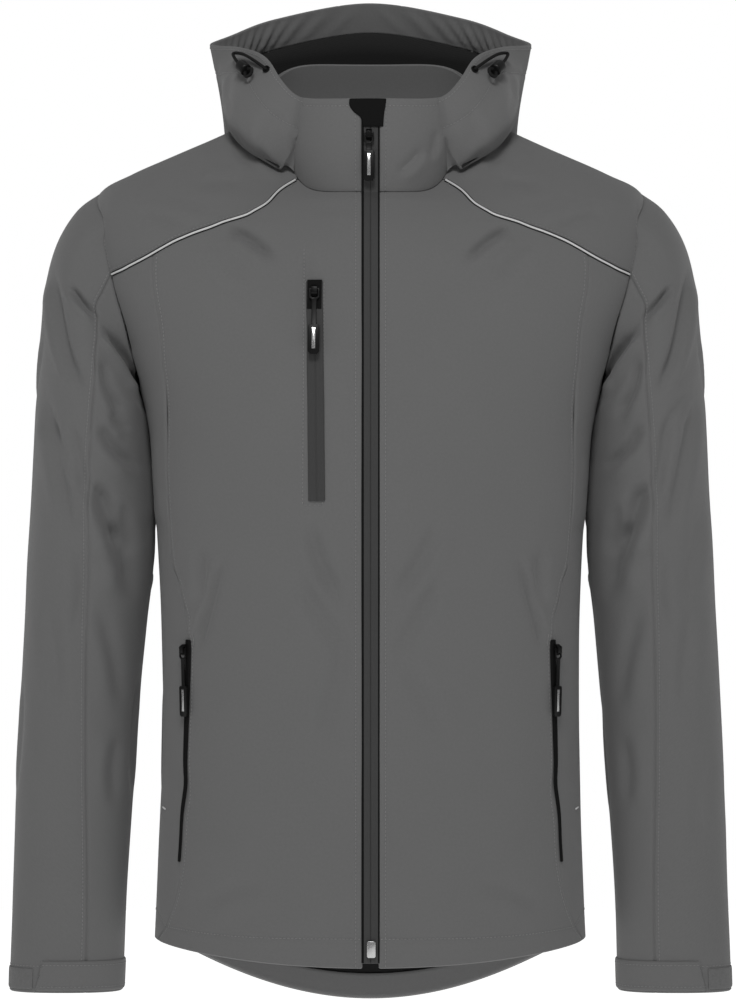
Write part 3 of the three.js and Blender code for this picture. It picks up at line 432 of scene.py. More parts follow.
# Creases: view is the side they show from; points are outwards (or back) and up;
# wide is the half width, deep the depth of the trough, and ridge the share that stands beside it
CREASES = [
    # view, side, points, wide, deep, ridge
    ("front", "both", [(123, -99), (104, -110), (79, -132)], 6, 2.3, 0.5),
    ("front", "both", [(150, -112), (128, -128), (108, -150)], 9, 0.9, 0.5),
    ("front", "right", [(56, -118), (54, -134), (52, -146)], 5, 0.8, 0.4),
    ("front", "both", [(204, -86), (182, -93), (158, -102)], 7, 1.2, 0.4),
    ("front", "both", [(178, -70), (160, -78), (135, -84)], 8, 0.8, 0.4),
    ("front", "both", [(110, -62), (128, -60), (150, -68)], 7, 1.0, 0.4),
    ("front", "both", [(262, -149), (250, -164), (234, -179)], 4.5, 2.6, 0.6),
    ("front", "both", [(276, -134), (272, -167), (262, -212), (243, -251)], 5.5, 2.8, 0.7),
    ("front", "both", [(284, -234), (271, -300), (256, -372)], 7, 2.0, 0.5),
    ("front", "left", [(288, -330), (280, -380), (270, -425)], 8, 1.3, 0.5),
    ("front", "both", [(232, -183), (212, -213), (196, -247)], 5, 2.6, 0.7),
    ("front", "both", [(236, -268), (222, -290), (197, -312)], 7, 2.0, 0.7),
    ("front", "both", [(240, -316), (226, -350), (211, -388)], 11, 4.0, 0.7),
    ("front", "both", [(226, -352), (212, -384), (206, -424)], 12, 3.2, 0.5),
    ("front", "both", [(216, -336), (208, -362), (203, -386)], 7, 1.8, 0.6),
    ("front", "both", [(206, -226), (200, -242), (194, -262)], 5, 2.2, 0.6),
    ("front", "right", [(226, -258), (218, -268), (208, -276)], 6, 1.2, 0.6),
    ("front", "both", [(236, -420), (222, -470), (214, -520)], 9, 1.5, 0.5),
    ("front", "both", [(216, -536), (222, -566), (221, -604)], 8, 1.4, 0.5),
    ("front", "both", [(278, -421), (273, -470), (268, -522)], 9, 1.5, 0.4),
    ("front", "left", [(290, -540), (284, -590), (280, -640)], 9, 0.9, 0.4),
    ("front", "both", [(127, -378), (142, -435), (150, -466)], 5, 2.0, 0.6),
    ("front", "both", [(150, -372), (146, -404), (148, -436)], 7, 1.8, 0.5),
    ("front", "right", [(54, -350), (44, -388), (22, -430)], 8, 1.9, 0.5),
    ("front", "left", [(60, -352), (44, -386), (18, -424)], 9, 1.6, 0.5),
    ("front", "both", [(64, -398), (40, -440), (16, -475)], 9, 1.4, 0.5),
    ("front", "left", [(22, -470), (46, -505), (60, -545)], 10, 1.1, 0.5),
    ("front", "right", [(18, -452), (32, -500), (44, -556)], 10, 1.1, 0.5),
    ("front", "both", [(170, -560), (150, -600), (120, -640)], 12, 0.8, 0.4),
    ("front", "both", [(150, -690), (120, -672), (84, -668)], 10, 0.7, 0.4),
    ("front", "left", [(48, -28), (36, -44), (22, -54)], 5, 1.2, 0.5),
    ("front", "right", [(52, -22), (44, -40), (30, -56)], 5, 1.3, 0.5),
    ("front", "both", [(58, -12), (55, -30), (50, -44)], 4, 1.0, 0.5),
    ("front", "both", [(119, -14), (112, -34), (96, -48)], 6, 0.9, 0.8),
    ("front", "both", [(119, 44), (124, 24), (124, 8), (120, -10)], 5, 1.0, 0.8),
    ("front", "both", [(100, -30), (88, -44), (72, -52)], 5, 0.9, 0.8),
    ("front", "both", [(84, 6), (90, -14), (84, -34)], 8, 0.7, 0.7),
    ("front", "left", [(110, 30), (102, 12), (100, -8)], 8, 0.6, 0.7),
    ("front", "both", [(262, -262), (252, -300), (246, -340)], 6, 1.6, 0.6),
    ("front", "both", [(232, -210), (226, -240), (212, -268)], 6, 2.0, 0.6),
    ("front", "left", [(280, -240), (262, -262), (248, -292)], 6, 1.3, 0.5),
    ("front", "right", [(284, -262), (268, -286), (250, -322)], 6, 1.3, 0.5),
    ("front", "both", [(254, -372), (250, -412), (256, -456)], 8, 1.2, 0.5),
    ("back", "both", [(150, -100), (118, -112), (88, -134)], 9, 1.6, 0.5),
    ("back", "both", [(206, -120), (196, -165), (184, -205)], 7, 2.0, 0.6),
    ("back", "both", [(170, -176), (150, -200), (122, -216)], 9, 1.5, 0.5),
    ("back", "left", [(20, -170), (60, -182), (96, -204)], 12, 1.0, 0.5),
    ("back", "right", [(10, -150), (48, -168), (92, -176)], 11, 1.0, 0.5),
    ("back", "both", [(176, -360), (140, -392), (96, -404)], 9, 1.8, 0.5),
    ("back", "left", [(172, -410), (126, -436), (70, -448)], 10, 1.6, 0.5),
    ("back", "right", [(174, -420), (132, -452), (84, -456)], 10, 1.5, 0.5),
    ("back", "both", [(178, -470), (150, -520), (128, -580)], 11, 1.1, 0.4),
    ("back", "left", [(60, -560), (72, -620), (70, -680)], 13, 0.9, 0.4),
    ("back", "both", [(262, -149), (250, -166), (236, -188)], 5, 2.0, 0.6),
    ("back", "both", [(276, -140), (270, -180), (258, -230)], 6, 2.2, 0.6),
    ("back", "both", [(268, -270), (240, -300), (208, -316)], 8, 2.6, 0.7),
    ("back", "both", [(264, -330), (238, -354), (206, -372)], 9, 2.8, 0.8),
    ("back", "both", [(264, -388), (242, -408), (212, -420)], 8, 2.0, 0.6),
    ("back", "both", [(262, -460), (244, -520), (236, -580)], 9, 1.2, 0.4),
    ("outer", "both", [(-30, -190), (-8, -230), (20, -262)], 8, 0.9, 0.5),
    ("outer", "both", [(56, -300), (36, -332), (14, -346)], 9, 1.1, 0.6),
    ("outer", "both", [(50, -368), (34, -388), (12, -400)], 8, 1.0, 0.6),
    ("outer", "left", [(20, -500), (6, -560), (2, -620)], 9, 1.0, 0.4),
    ("outer", "right", [(-2, -480), (-10, -540), (-4, -600)], 9, 1.1, 0.4),
]
# Shares of the table's widths and depths, then how a crease fades and where its ridge stands
CREASE_WIDE = 0.72
CREASE_DEEP = 2.25
CREASE_REACH = 3.5
CREASE_STEPS = 24
CREASE_FADE = 0.3
RIDGE_AWAY, RIDGE_WIDE = 1.9, 1.2
VIEW_FADE = 2.2
# Slow and quick unevenness of all cloth
UNEVEN = 0.35
UNEVEN_QUICK = 0.4


def crease_lift(points, normals, side):
    """How far cloth moves out where creases cross it. Each crease is a smooth line; a point
    sinks by depth times a bell of its distance, rises beside it, and both fade at the ends."""
    lift = np.zeros(points.shape[:-1])
    views = {
        "front": (seen(points), smooth(-normals[..., 1] * VIEW_FADE)),
        "back": (points[..., [0, 2]], smooth(normals[..., 1] * VIEW_FADE)),
        "outer": (points[..., [1, 2]], smooth(np.abs(normals[..., 0]) * 2 - 0.3)),
    }
    for view, where, line, wide, deep, ridge in CREASES:
        if where not in ("both", side):
            continue
        wide, deep = wide * CREASE_WIDE, deep * CREASE_DEEP
        flat, shows = views[view]
        flat = flat.copy()
        if view != "outer":
            flat[..., 0] *= flip_of(side)[0]
        path = through(np.array(line, float), np.linspace(0, len(line) - 1, CREASE_STEPS + 1))
        reach = CREASE_REACH * wide
        low, high = path.min(0) - reach, path.max(0) + reach
        near = np.all((flat > low) & (flat < high), axis=-1)
        if not near.any():
            continue
        spot = flat[near]
        away = spot[:, None, :] - path[None]
        long = np.einsum("ijk,ijk->ij", away, away)
        nearest = long.argmin(axis=1)
        along = np.gradient(path, axis=0)
        along /= np.linalg.norm(along, axis=1, keepdims=True)
        gap = away[np.arange(len(spot)), nearest]
        turn = along[nearest]
        across = turn[:, 0] * gap[:, 1] - turn[:, 1] * gap[:, 0]
        past = np.maximum(np.abs((turn * gap).sum(1)) - wide, 0)
        t = nearest / CREASE_STEPS
        fade = smooth(t / CREASE_FADE) * smooth((1 - t) / CREASE_FADE) * bell(past / wide)
        beside = (across - RIDGE_AWAY * wide) / (RIDGE_WIDE * wide)
        shape = -bell(across / wide) + ridge * bell(beside)
        lift[near] += deep * shape * fade * shows[near]
    x, y, z = np.moveaxis(points, -1, 0)
    slow = np.sin(z / 47 + x / 61) * np.sin(x / 38 - y / 53)
    quick = np.sin(z / 21 + x / 17 + y / 40) * np.sin(x / 14 - z / 39 + y / 23)
    return lift + UNEVEN * slow + UNEVEN_QUICK * UNEVEN * quick


# How far sleeve and side stand apart as seen from the front, by height, where they should meet
APART = [
    (-208, 0.5), (-222, 3.0), (-238, 4.8), (-250, 6.0), (-264, 5.4),
    (-282, 3.0), (-300, 1.6), (-325, 1.5), (-346, 1.9), (-358, 0.2),
]
# How far past the middle each of the two leans, and how squarely cloth faces the other to move
MEET_OVER = 0.3
MEET_FACING, MEET_SPREAD = 0.66, 0.28


def meeting_lift(points, normals, inward):
    """How far cloth fills out where the sleeve's inner side and the body's side meet."""
    heights, apart = np.array(APART[::-1], float).T
    share = np.interp(points[..., 2], heights, apart, left=0, right=0) / 2
    share += MEET_OVER * smooth(share / 0.4)
    facing = normals[..., 0] * np.sign(points[..., 0]) * inward
    return share * smooth((facing - MEET_FACING) / MEET_SPREAD)


# Meshes

def put_mesh(name, points, quads, triangles=None, uv=None, look=None, looks=None, look_of=None):
    """One object from points in millimetres, faces of four and of three, and one uv a point."""
    quads = np.asarray(quads, int).reshape(-1, 4)
    triangles = np.zeros((0, 3), int) if triangles is None else np.asarray(triangles, int)
    corners = np.concatenate([quads.ravel(), triangles.ravel()])
    sizes = np.concatenate([np.full(len(quads), 4), np.full(len(triangles), 3)])
    mesh = bpy.data.meshes.new(name)
    mesh.vertices.add(len(points))
    mesh.vertices.foreach_set("co", (np.asarray(points) * MM).astype(np.float32).ravel())
    mesh.loops.add(len(corners))
    mesh.loops.foreach_set("vertex_index", corners.astype(np.int32))
    mesh.polygons.add(len(sizes))
    mesh.polygons.foreach_set("loop_start", (np.cumsum(sizes) - sizes).astype(np.int32))
    mesh.polygons.foreach_set("use_smooth", np.ones(len(sizes), bool))
    for material in looks or [look]:
        mesh.materials.append(material)
    if look_of is not None:
        mesh.polygons.foreach_set("material_index", np.asarray(look_of, np.int32))
    if uv is not None:
        layer = mesh.uv_layers.new(name="cloth")
        layer.data.foreach_set("uv", (np.asarray(uv)[corners] * MM).astype(np.float32).ravel())
    mesh.update(calc_edges=True)
    mesh.validate()
    thing = bpy.data.objects.new(name, mesh)
    bpy.context.scene.collection.objects.link(thing)
    return thing


def spaced(long, step, near=(0.5, 1.1, 1.9, 2.9, 4.2, 6.0)):
    """Shares along a side of a given length: close together at both ends, then even."""
    ends = np.array((0.0, *near))
    count = max(2, int(round((long - 2 * ends[-1]) / step)))
    middle = np.linspace(ends[-1], long - ends[-1], count + 1)[1:-1]
    return np.concatenate([ends, middle, (long - ends)[::-1]]) / long


def arc_lengths(points):
    """Lengths along the rows and along the columns of a grid, from their first points."""
    across = np.linalg.norm(np.diff(points, axis=1), axis=-1)
    upward = np.linalg.norm(np.diff(points, axis=0), axis=-1)
    across = np.concatenate([np.zeros((len(points), 1)), np.cumsum(across, axis=1)], axis=1)
    upward = np.concatenate([np.zeros((1, points.shape[1])), np.cumsum(upward, axis=0)], axis=0)
    return across, upward


def fill(bottom, top, left, right, u, v):
    """Places between four border lines: the two ruled sheets added, less the corners."""
    low, high = bottom(u)[None], top(u)[None]
    west, east = left(v)[:, None], right(v)[:, None]
    u, v = u[None, :, None], v[:, None, None]
    ruled = mix(west, east, u) + mix(low, high, v)
    corners = mix(mix(low[:, :1], low[:, -1:], u), mix(high[:, :1], high[:, -1:], u), v)
    return ruled - corners


BORDERS = ("left", "right", "bottom", "top")


class Cloth:
    """A sheet of cloth on a surface, before and after its relief is added."""

    def __init__(self, places, surface, normal, side, lift=0.0, relief=None, draw=SEAM_GAP):
        self.side = side
        self.points = surface(places[..., 0], places[..., 1])
        self.normals = normal(places[..., 0], places[..., 1])
        self.points = (self.points + self.normals * lift) * flip_of(side)
        self.normals = self.normals * flip_of(side)
        self.across, self.upward = arc_lengths(self.points)
        self.wide = self.across[:, -1:]
        self.high = self.upward[-1:, :]
        self.sides = {
            "left": self.across, "right": self.wide - self.across,
            "bottom": self.upward, "top": self.high - self.upward,
        }
        if relief is not None:
            self.points = self.points + self.normals * relief(self)[..., None]
        if draw:
            self.draw_in(draw)

    def draw_in(self, amount):
        """Moves the border in by half a seam."""
        p = self.points
        moved = p.copy()
        for edge, inner in ((0, 1), (-1, -2)):
            moved[edge] += unit(p[inner] - p[edge]) * amount
            moved[:, edge] += unit(p[:, inner] - p[:, edge]) * amount
        self.points = moved

    def uv(self):
        """Cloth coordinates: millimetres across and up the sheet."""
        return np.stack([self.across - self.wide / 2, self.upward], -1)

    def beside(self, border, distance, along=(0.0, 1.0)):
        """The line a distance in from a border, with its outward directions, between shares."""
        far = self.sides[border]
        points, normals = self.points, self.normals
        if border in ("bottom", "top"):
            far, points, normals = far.T, points.transpose(1, 0, 2), normals.transpose(1, 0, 2)
        if border in ("right", "top"):
            far, points, normals = far[:, ::-1], points[:, ::-1], normals[:, ::-1]
        rows = np.arange(len(far))
        i = np.clip((far < distance).sum(axis=1) - 1, 0, far.shape[1] - 2)
        f = ((distance - far[rows, i]) / np.maximum(far[rows, i + 1] - far[rows, i], 1e-9))[:, None]
        line = mix(points[rows, i], points[rows, i + 1], f)
        out = unit(mix(normals[rows, i], normals[rows, i + 1], f))
        low, high = (int(round(a * (len(rows) - 1))) for a in along)
        return line[low:high + 1], out[low:high + 1]


def border_of(rows, cols):
    """Indices round a grid's border, in order."""
    grid = np.arange(rows * cols).reshape(rows, cols)
    return np.concatenate([grid[0, :-1], grid[:-1, -1], grid[-1, :0:-1], grid[:0:-1, 0]])


def grid_faces(rows, cols):
    """Faces of a grid of points."""
    grid = np.arange(rows * cols).reshape(rows, cols)
    return np.stack([grid[:-1, :-1], grid[:-1, 1:], grid[1:, 1:], grid[1:, :-1]], -1).reshape(-1, 4)


def volume_of(points, quads):
    """The volume inside closed faces: a sixth of the sum of corner products."""
    a, b, c, d = (points[quads[:, k]] for k in range(4))
    return (np.cross(a, b) * c).sum() / 6 + (np.cross(a, c) * d).sum() / 6


RIM_ROUND = 0.45


def sheet_object(name, cloth, wall, looks, marked=None):
    """A closed sheet: the outer grid, the same grid a wall inwards, and a round rim between.
    The first look is the outer face's and the rim's, the second the inner face's; marked
    columns of the outer face have the third."""
    outer, normals = cloth.points, cloth.normals
    rows, cols = outer.shape[:2]
    inner = outer - normals * wall
    flat_outer, flat_inner = outer.reshape(-1, 3), inner.reshape(-1, 3)
    count = rows * cols
    border = border_of(rows, cols)
    ring_outer, ring_inner = flat_outer[border], flat_inner[border]
    along = unit(np.roll(ring_outer, -1, 0) - np.roll(ring_outer, 1, 0))
    out = unit(np.cross(along, normals.reshape(-1, 3)[border]))
    middle = (ring_outer + ring_inner) / 2
    if ((middle - flat_outer.mean(0)) * out).sum() < 0:
        out = -out
    middle = middle + out * wall * RIM_ROUND
    points = np.vstack([flat_outer, flat_inner, middle])
    faces = grid_faces(rows, cols)
    ring = np.arange(len(border))
    after = np.roll(ring, -1)
    rim_outer = np.stack([border[ring], 2 * count + ring, 2 * count + after, border[after]], -1)
    rim_inner = np.stack(
        [2 * count + ring, count + border[ring], count + border[after], 2 * count + after], -1)
    quads = np.vstack([faces, faces[:, ::-1] + count, rim_outer, rim_inner])
    if volume_of(points, quads) < 0:
        quads = quads[:, ::-1]
    uv = cloth.uv().reshape(-1, 2)
    uv = np.vstack([uv, uv, uv[border]])
    kind = np.zeros(len(quads), int)
    kind[len(faces):2 * len(faces)] = min(1, len(looks) - 1)
    if marked is not None:
        kind[:len(faces)] = np.broadcast_to(np.where(marked, 2, 0), (rows - 1, cols - 1)).ravel()
    return put_mesh(name, points, quads, uv=uv, looks=looks, look_of=kind)


# Materials

WEAVE_DEEP = 0.00025
GRAIN_DEEP = 0.0001
THREAD_NOISE, CLOTH_NOISE, GRAIN_NOISE = (420, 3), (14, 4), (900, 2)


def nodes_of(name):
    """A new material with its node tree and its shader."""
    material = bpy.data.materials.new(name)
    material.use_nodes = True
    tree = material.node_tree
    return material, tree, tree.nodes["Principled BSDF"]


def grey(value):
    """A linear colour from a grey of the photograph, 0 to 255."""
    v = value / 255
    linear = v / 12.92 if v <= 0.04045 else ((v + 0.055) / 1.055) ** 2.4
    return (linear, linear, linear, 1.0)


def link(tree, a, b):
    """Joins an output to an input."""
    tree.links.new(a, b)


def settings(node, **values):
    """Sets inputs of a node by name, with underscores for spaces."""
    for name, value in values.items():
        node.inputs[name.replace("_", " ")].default_value = value


def math_node(tree, operation, a, b=None):
    """A maths node on outputs or numbers."""
    node = tree.nodes.new("ShaderNodeMath")
    node.operation = operation
    for socket, value in zip(node.inputs, (a, b)):
        if isinstance(value, (int, float)):
            socket.default_value = value
        elif value is not None:
            link(tree, value, socket)
    return node.outputs[0]


def noise_of(tree, place, scale, detail):
    """Soft noise at a place."""
    noise = tree.nodes.new("ShaderNodeTexNoise")
    settings(noise, Scale=scale, Detail=detail)
    link(tree, place, noise.inputs["Vector"])
    return noise.outputs[0]


def shaded(tree, shader, colour, shade):
    """The base colour, made darker or brighter by a shade."""
    colours = tree.nodes.new("ShaderNodeVectorMath")
    colours.operation = "SCALE"
    colours.inputs[0].default_value = colour[:3]
    link(tree, shade, colours.inputs["Scale"])
    link(tree, colours.outputs[0], shader.inputs["Base Color"])


def embossed(tree, shader, height, strength, deep):
    """Fine relief from a height, deep in metres."""
    relief = tree.nodes.new("ShaderNodeBump")
    settings(relief, Strength=strength, Distance=deep)
    link(tree, height, relief.inputs["Height"])
    link(tree, relief.outputs[0], shader.inputs["Normal"])


def woven(name, colour, rough=0.85, pitch=0.9, bump=0.35, mottle=0.06, sheen=0.12, gloss=0.25):
    """Cloth: two crossed sets of threads as fine relief, and soft uneven colour."""
    material, tree, shader = nodes_of(name)
    settings(shader, Roughness=rough, Specular_IOR_Level=gloss, Sheen_Weight=sheen)
    settings(shader, Sheen_Roughness=0.5)
    place = tree.nodes.new("ShaderNodeUVMap")
    place.uv_map = "cloth"
    split = tree.nodes.new("ShaderNodeSeparateXYZ")
    link(tree, place.outputs[0], split.inputs[0])

    def times(a, b):
        return math_node(tree, "MULTIPLY", a, b)

    def plus(a, b):
        return math_node(tree, "ADD", a, b)

    turns = 2 * math.pi / (pitch * MM)
    warp = math_node(tree, "SINE", times(split.outputs[0], turns))
    weft = math_node(tree, "SINE", times(split.outputs[1], turns * 0.8))
    weave = times(warp, weft)
    quick = noise_of(tree, place.outputs[0], *THREAD_NOISE)
    slow = noise_of(tree, place.outputs[0], *CLOTH_NOISE)
    fine = times(math_node(tree, "SUBTRACT", quick, 0.5), 2.4 * mottle)
    wide = times(math_node(tree, "SUBTRACT", slow, 0.5), mottle)
    thread = times(weave, 0.6 * mottle)
    shaded(tree, shader, colour, plus(plus(fine, wide), plus(thread, 1.0)))
    embossed(tree, shader, plus(times(weave, 0.5), quick), bump, WEAVE_DEEP)
    return material


def moulded(name, colour, rough=0.45, metallic=0.0, bump=0.15):
    """Moulded or cast trim: even colour with a faint grain and uneven gloss."""
    material, tree, shader = nodes_of(name)
    settings(shader, Metallic=metallic, Specular_IOR_Level=0.5 if metallic else 0.14)
    place = tree.nodes.new("ShaderNodeTexCoord")
    grain = noise_of(tree, place.outputs["Object"], *GRAIN_NOISE)
    shaded(tree, shader, colour, math_node(tree, "MULTIPLY_ADD", grain, 0.3))
    gloss = math_node(tree, "ADD", math_node(tree, "MULTIPLY", grain, 0.2), rough - 0.1)
    link(tree, gloss, shader.inputs["Roughness"])
    embossed(tree, shader, grain, bump, GRAIN_DEEP)
    return material


SHELL = woven("shell_cloth", grey(88))
# Facing cloth is the shell cloth; its lighter grey is painted light against the shade inside the
# collar and hood
FACING = woven("facing_cloth", grey(93))
# Shell cloth of the turned-up back hem, given a lighter grey than the shell: painted light against
# the shade inside the hem
TURNED_PAINTED_LIGHTER = woven("turned_up_shell_cloth_painted_lighter", grey(104))
FLEECE = woven("black_fleece", grey(24), 0.95, pitch=1.6, bump=0.6, mottle=0.15, sheen=0.05)
TAPE = woven("zip_tape_cloth", grey(48), 0.7, pitch=0.8, bump=0.4, mottle=0.08, sheen=0.05)
THREAD = woven("thread", grey(110), rough=0.6, pitch=0.5, bump=0.3, mottle=0.1)
REFLECT = woven("reflective_piping", grey(180), rough=0.4, pitch=0.6, bump=0.2, mottle=0.05)
LOOP = woven("fuzzy_loop_tape", grey(88), rough=0.95, pitch=1.2, bump=0.8, mottle=0.2)
TRIM = moulded("black_moulded_trim", grey(13), rough=0.4)
ENAMEL = moulded("black_enamel", grey(10), rough=0.3, bump=0.05)
SILVER = moulded("silver_plate", grey(205), rough=0.28, metallic=1.0, bump=0.05)
CORD = woven("black_braid", grey(18), rough=0.8, sheen=0, gloss=0.15)
# Black cloth for real black trims, also laid on as painted shadow: the front zip tapes' outer bands,
# the pocket strips and the plate round the chest slider
BLACK = woven("black_trim_and_shadow_cloth", grey(15), rough=0.9, bump=0.4, mottle=0.1, sheen=0, gloss=0.08)


# Pieces of cloth

ROLL = 0.7


def seam_roll(distance, deep=ROLL, wide=1.3):
    """How far an edge turns down into its seam: most at the edge, gone within a few wide."""
    return -deep * bell(distance / wide)


def stitch_sink(distance, row, deep=0.28, wide=0.9):
    """The soft groove that a row of stitches pulls into cloth."""
    return -deep * bell((distance - row) / wide)


def rolled(cloth, **borders):
    """Edges turned down into their seams: for each border a depth, or a depth and a width."""
    return sum(seam_roll(cloth.sides[k], *np.atleast_1d(v)) for k, v in borders.items())


def sunk(cloth, **borders):
    """Rows of stitches beside borders, each by its distance."""
    return sum(stitch_sink(cloth.sides[k], v) for k, v in borders.items())


def hem_sink(cloth):
    """The groove of the hem's row."""
    return stitch_sink(cloth.sides["bottom"], HEM_IN, 0.35, 1.4)


STEP = 3.3
# Rows of stitches, from the edges that they follow
STITCH_IN = 4.0
ZIP_IN = 4.8
HEM_IN = 24
CUFF_IN = 22
COLLAR_IN = 6
TAB_IN = 3.2
HOOD_EDGE_IN = 3.0
CASING = 25.0


def two(a, b):
    """A straight line of places between two places."""
    a, b = np.array(a, float), np.array(b, float)
    return lambda f: mix(a, b, f[:, None])


def zip_edge(up):
    """The zip edge of the fronts, as places on the rings."""
    half = through(np.array([r[0] for r in RINGS], float), up)
    return np.stack([np.degrees(np.arcsin(ZIP_HALF / half)), up], -1)


FRONT_STEPS = 26
PRINCESS_STEPS = 18
TURN_UP = 9.4


def front_outer(v):
    """The front's outer side: up the princess seam, then in along the yoke piping."""
    t = v * FRONT_STEPS
    seam = line_at(princess, np.minimum(t / PRINCESS_STEPS, 1))
    along = np.clip((t - PRINCESS_STEPS) / (FRONT_STEPS - PRINCESS_STEPS), 0, 1)
    pipe = line_at(piping, mix(PIPE_TURN_SHARE, 0, along))
    return np.where((t <= PRINCESS_STEPS)[:, None], seam, pipe)


def front_inner(v):
    """The front's zip side."""
    t = v * FRONT_STEPS
    seam_up = line_at(princess, np.minimum(t / PRINCESS_STEPS, 1))[:, 1] / princess[-1, 1] * TURN_UP
    along = np.clip((t - PRINCESS_STEPS) / (FRONT_STEPS - PRINCESS_STEPS), 0, 1)
    return zip_edge(np.where(t <= PRINCESS_STEPS, seam_up, mix(TURN_UP, NECK_ROW, along)))


LOWER_ARMHOLE_STEPS = 7
SIDE_STEPS = 11


def side_outer(turn_to_place):
    """A side seam and the lower armhole above it, as one line."""
    def line(v):
        t = v * (SIDE_STEPS + LOWER_ARMHOLE_STEPS)
        top = armhole_place(np.array(180.0))[1]
        seam = np.stack([np.full(t.shape, 90.0), mix(0, top, np.minimum(t / SIDE_STEPS, 1))], -1)
        turn = mix(180, TURN_JOIN, np.clip((t - SIDE_STEPS) / LOWER_ARMHOLE_STEPS, 0, 1))
        return np.where((t <= SIDE_STEPS)[:, None], seam, armhole_place(turn_to_place(turn)))
    return line


# Steps along the yoke's long side at which the piping turns, meets the armhole, leaves it, ends
YOKE_STEPS = (8, 11, 23, 31)


def yoke_low(v):
    """The yoke's long side: the piping, the upper armhole from front to back, the back seam."""
    turn, front, back, end = YOKE_STEPS
    t = v * end
    pipe = line_at(piping, np.maximum(mix(0, PIPE_TURN_SHARE, np.clip(t / turn, 0, 1)), 0.005))
    pipe_end = mix(PIPE_TURN_SHARE, 1, np.clip((t - turn) / (front - turn), 0, 1))
    armhole = mix(TURN_JOIN, -TURN_JOIN, np.clip((t - front) / (back - front), 0, 1))
    behind = line_at(back_yoke, np.clip((t - back) / (end - back), 0, 1))
    t = t[:, None]
    later = np.where(t <= back, armhole_place(armhole), behind)
    return np.where(t <= turn, pipe, np.where(t <= front, line_at(piping, pipe_end), later))


def back_top(u):
    """The back's upper side: the yoke seam from armhole to armhole."""
    half = line_at(back_yoke, 1 - np.abs(1 - 2 * u))
    return np.where((u > 0.5)[:, None], (360, 0) + half * (-1, 1), half)


def mirror_around(line):
    """The same line on the other side of the body."""
    return lambda v: (360, 0) + line(v) * (-1, 1)


def body_relief(cloth):
    """Creases shared by everything on the body."""
    return crease_lift(cloth.points, cloth.normals, cloth.side)


def both_sides(cloth):
    """Creases of a piece that crosses the middle: each side has its own."""
    left = crease_lift(cloth.points, cloth.normals, "left")
    right = crease_lift(cloth.points, cloth.normals, "right")
    return np.where(cloth.points[..., 0] > 0, left, right)


cloths = {}


def add(thing, body_name, slot, *replaced):
    """Attaches a piece to what carries it and hides the nodes that it stands for; its finish, slot,
    is not used.
    """
    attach(thing, body_name)
    if replaced:
        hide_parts(*replaced)


def add_sheet(name, cloth, wall, looks, slot, *replaced, marked=None):
    """A cloth piece in the jacket's body, kept by name with its cloth for seams."""
    thing = sheet_object(name, cloth, wall, looks, marked)
    cloths[name] = (thing, cloth)
    add(thing, "jacket", slot, *replaced)


def add_panel(key, side, cloth):
    """A panel of shell cloth with its fleece back, in place of its solid."""
    name = key + "_cloth_" + side
    add_sheet(name, cloth, WALL, [SHELL, FLEECE], "shell", key + "_" + side)


def make_fronts(side):
    """The front: zip edge, princess seam, piping and hem."""
    v = spaced(800, STEP)
    u = spaced(172, STEP)
    low, high = front_inner(v), front_outer(v)
    places = fill(two(low[0], high[0]), two(low[-1], high[-1]), front_inner, front_outer, u, v)

    def relief(c):
        seams = rolled(c, left=(0.5, 1.0), right=ROLL, top=0.1)
        return body_relief(c) + seams + sunk(c, left=ZIP_IN, right=STITCH_IN) + hem_sink(c)

    add_panel("front", side, Cloth(places, body, body_normal, side, relief=relief))


def make_side_fronts(side):
    """The side front, between the princess seam and the side seam."""
    v = spaced(600, STEP)
    u = spaced(110, STEP)
    outer = side_outer(lambda turn: turn)
    low, high = line_at(princess, 0), outer(np.array([0.0]))[0]
    top = lambda f: line_at(piping, mix(PIPE_TURN_SHARE, 1, f))
    places = fill(two(low, high), top, lambda f: line_at(princess, f), outer, u, v)

    def relief(c):
        meet = meeting_lift(c.points, c.normals, 1)
        return body_relief(c) + rolled(c, left=ROLL, right=ROLL, top=ROLL) + meet + hem_sink(c)

    add_panel("side_front", side, Cloth(places, body, body_normal, side, relief=relief))


def make_yokes(side):
    """The yoke over the shoulder, from the piping to the back seam."""
    v = spaced(150, STEP)
    u = spaced(520, STEP)
    start = yoke_low(np.array([0.0]))[0]
    end = yoke_low(np.array([1.0]))[0]
    neck = (piping[0, 0] + 0.6, NECK_ROW)
    far = (180, NECK_ROW)
    high = lambda f: two(neck, far)(f ** YOKE_CROWD)
    places = fill(yoke_low, high, two(start, neck), two(end, far), u, v)

    def relief(c):
        seams = rolled(c, bottom=0.5, top=0.1, left=0.4)
        return body_relief(c) + seams + sunk(c, bottom=STITCH_IN)

    add_panel("yoke", side, Cloth(places, body, body_normal, side, relief=relief))


def make_back():
    """The back, in one piece from side seam to side seam."""
    v = spaced(620, STEP)
    u = spaced(440, STEP)
    side = side_outer(lambda turn: 360 - turn)
    far = mirror_around(side)
    low, high = side(np.array([0.0]))[0], far(np.array([0.0]))[0]
    places = fill(two(low, high), back_top, side, far, u, v)

    def relief(c):
        meet = meeting_lift(c.points, c.normals, 1)
        return both_sides(c) + rolled(c, left=ROLL, right=ROLL, top=ROLL) + meet + hem_sink(c)

    cloth = Cloth(places, body, body_normal, "left", relief=relief)
    add_sheet("back_cloth", cloth, WALL, [SHELL, FLEECE], "shell", "back")


# The turn-up's first place, last place and count, round the body and up it
TURN_UP_AROUND, TURN_UP_UP = (93, 267, 90), (0.004, 0.21, 9)
TURN_UP_CLEAR = 0.5


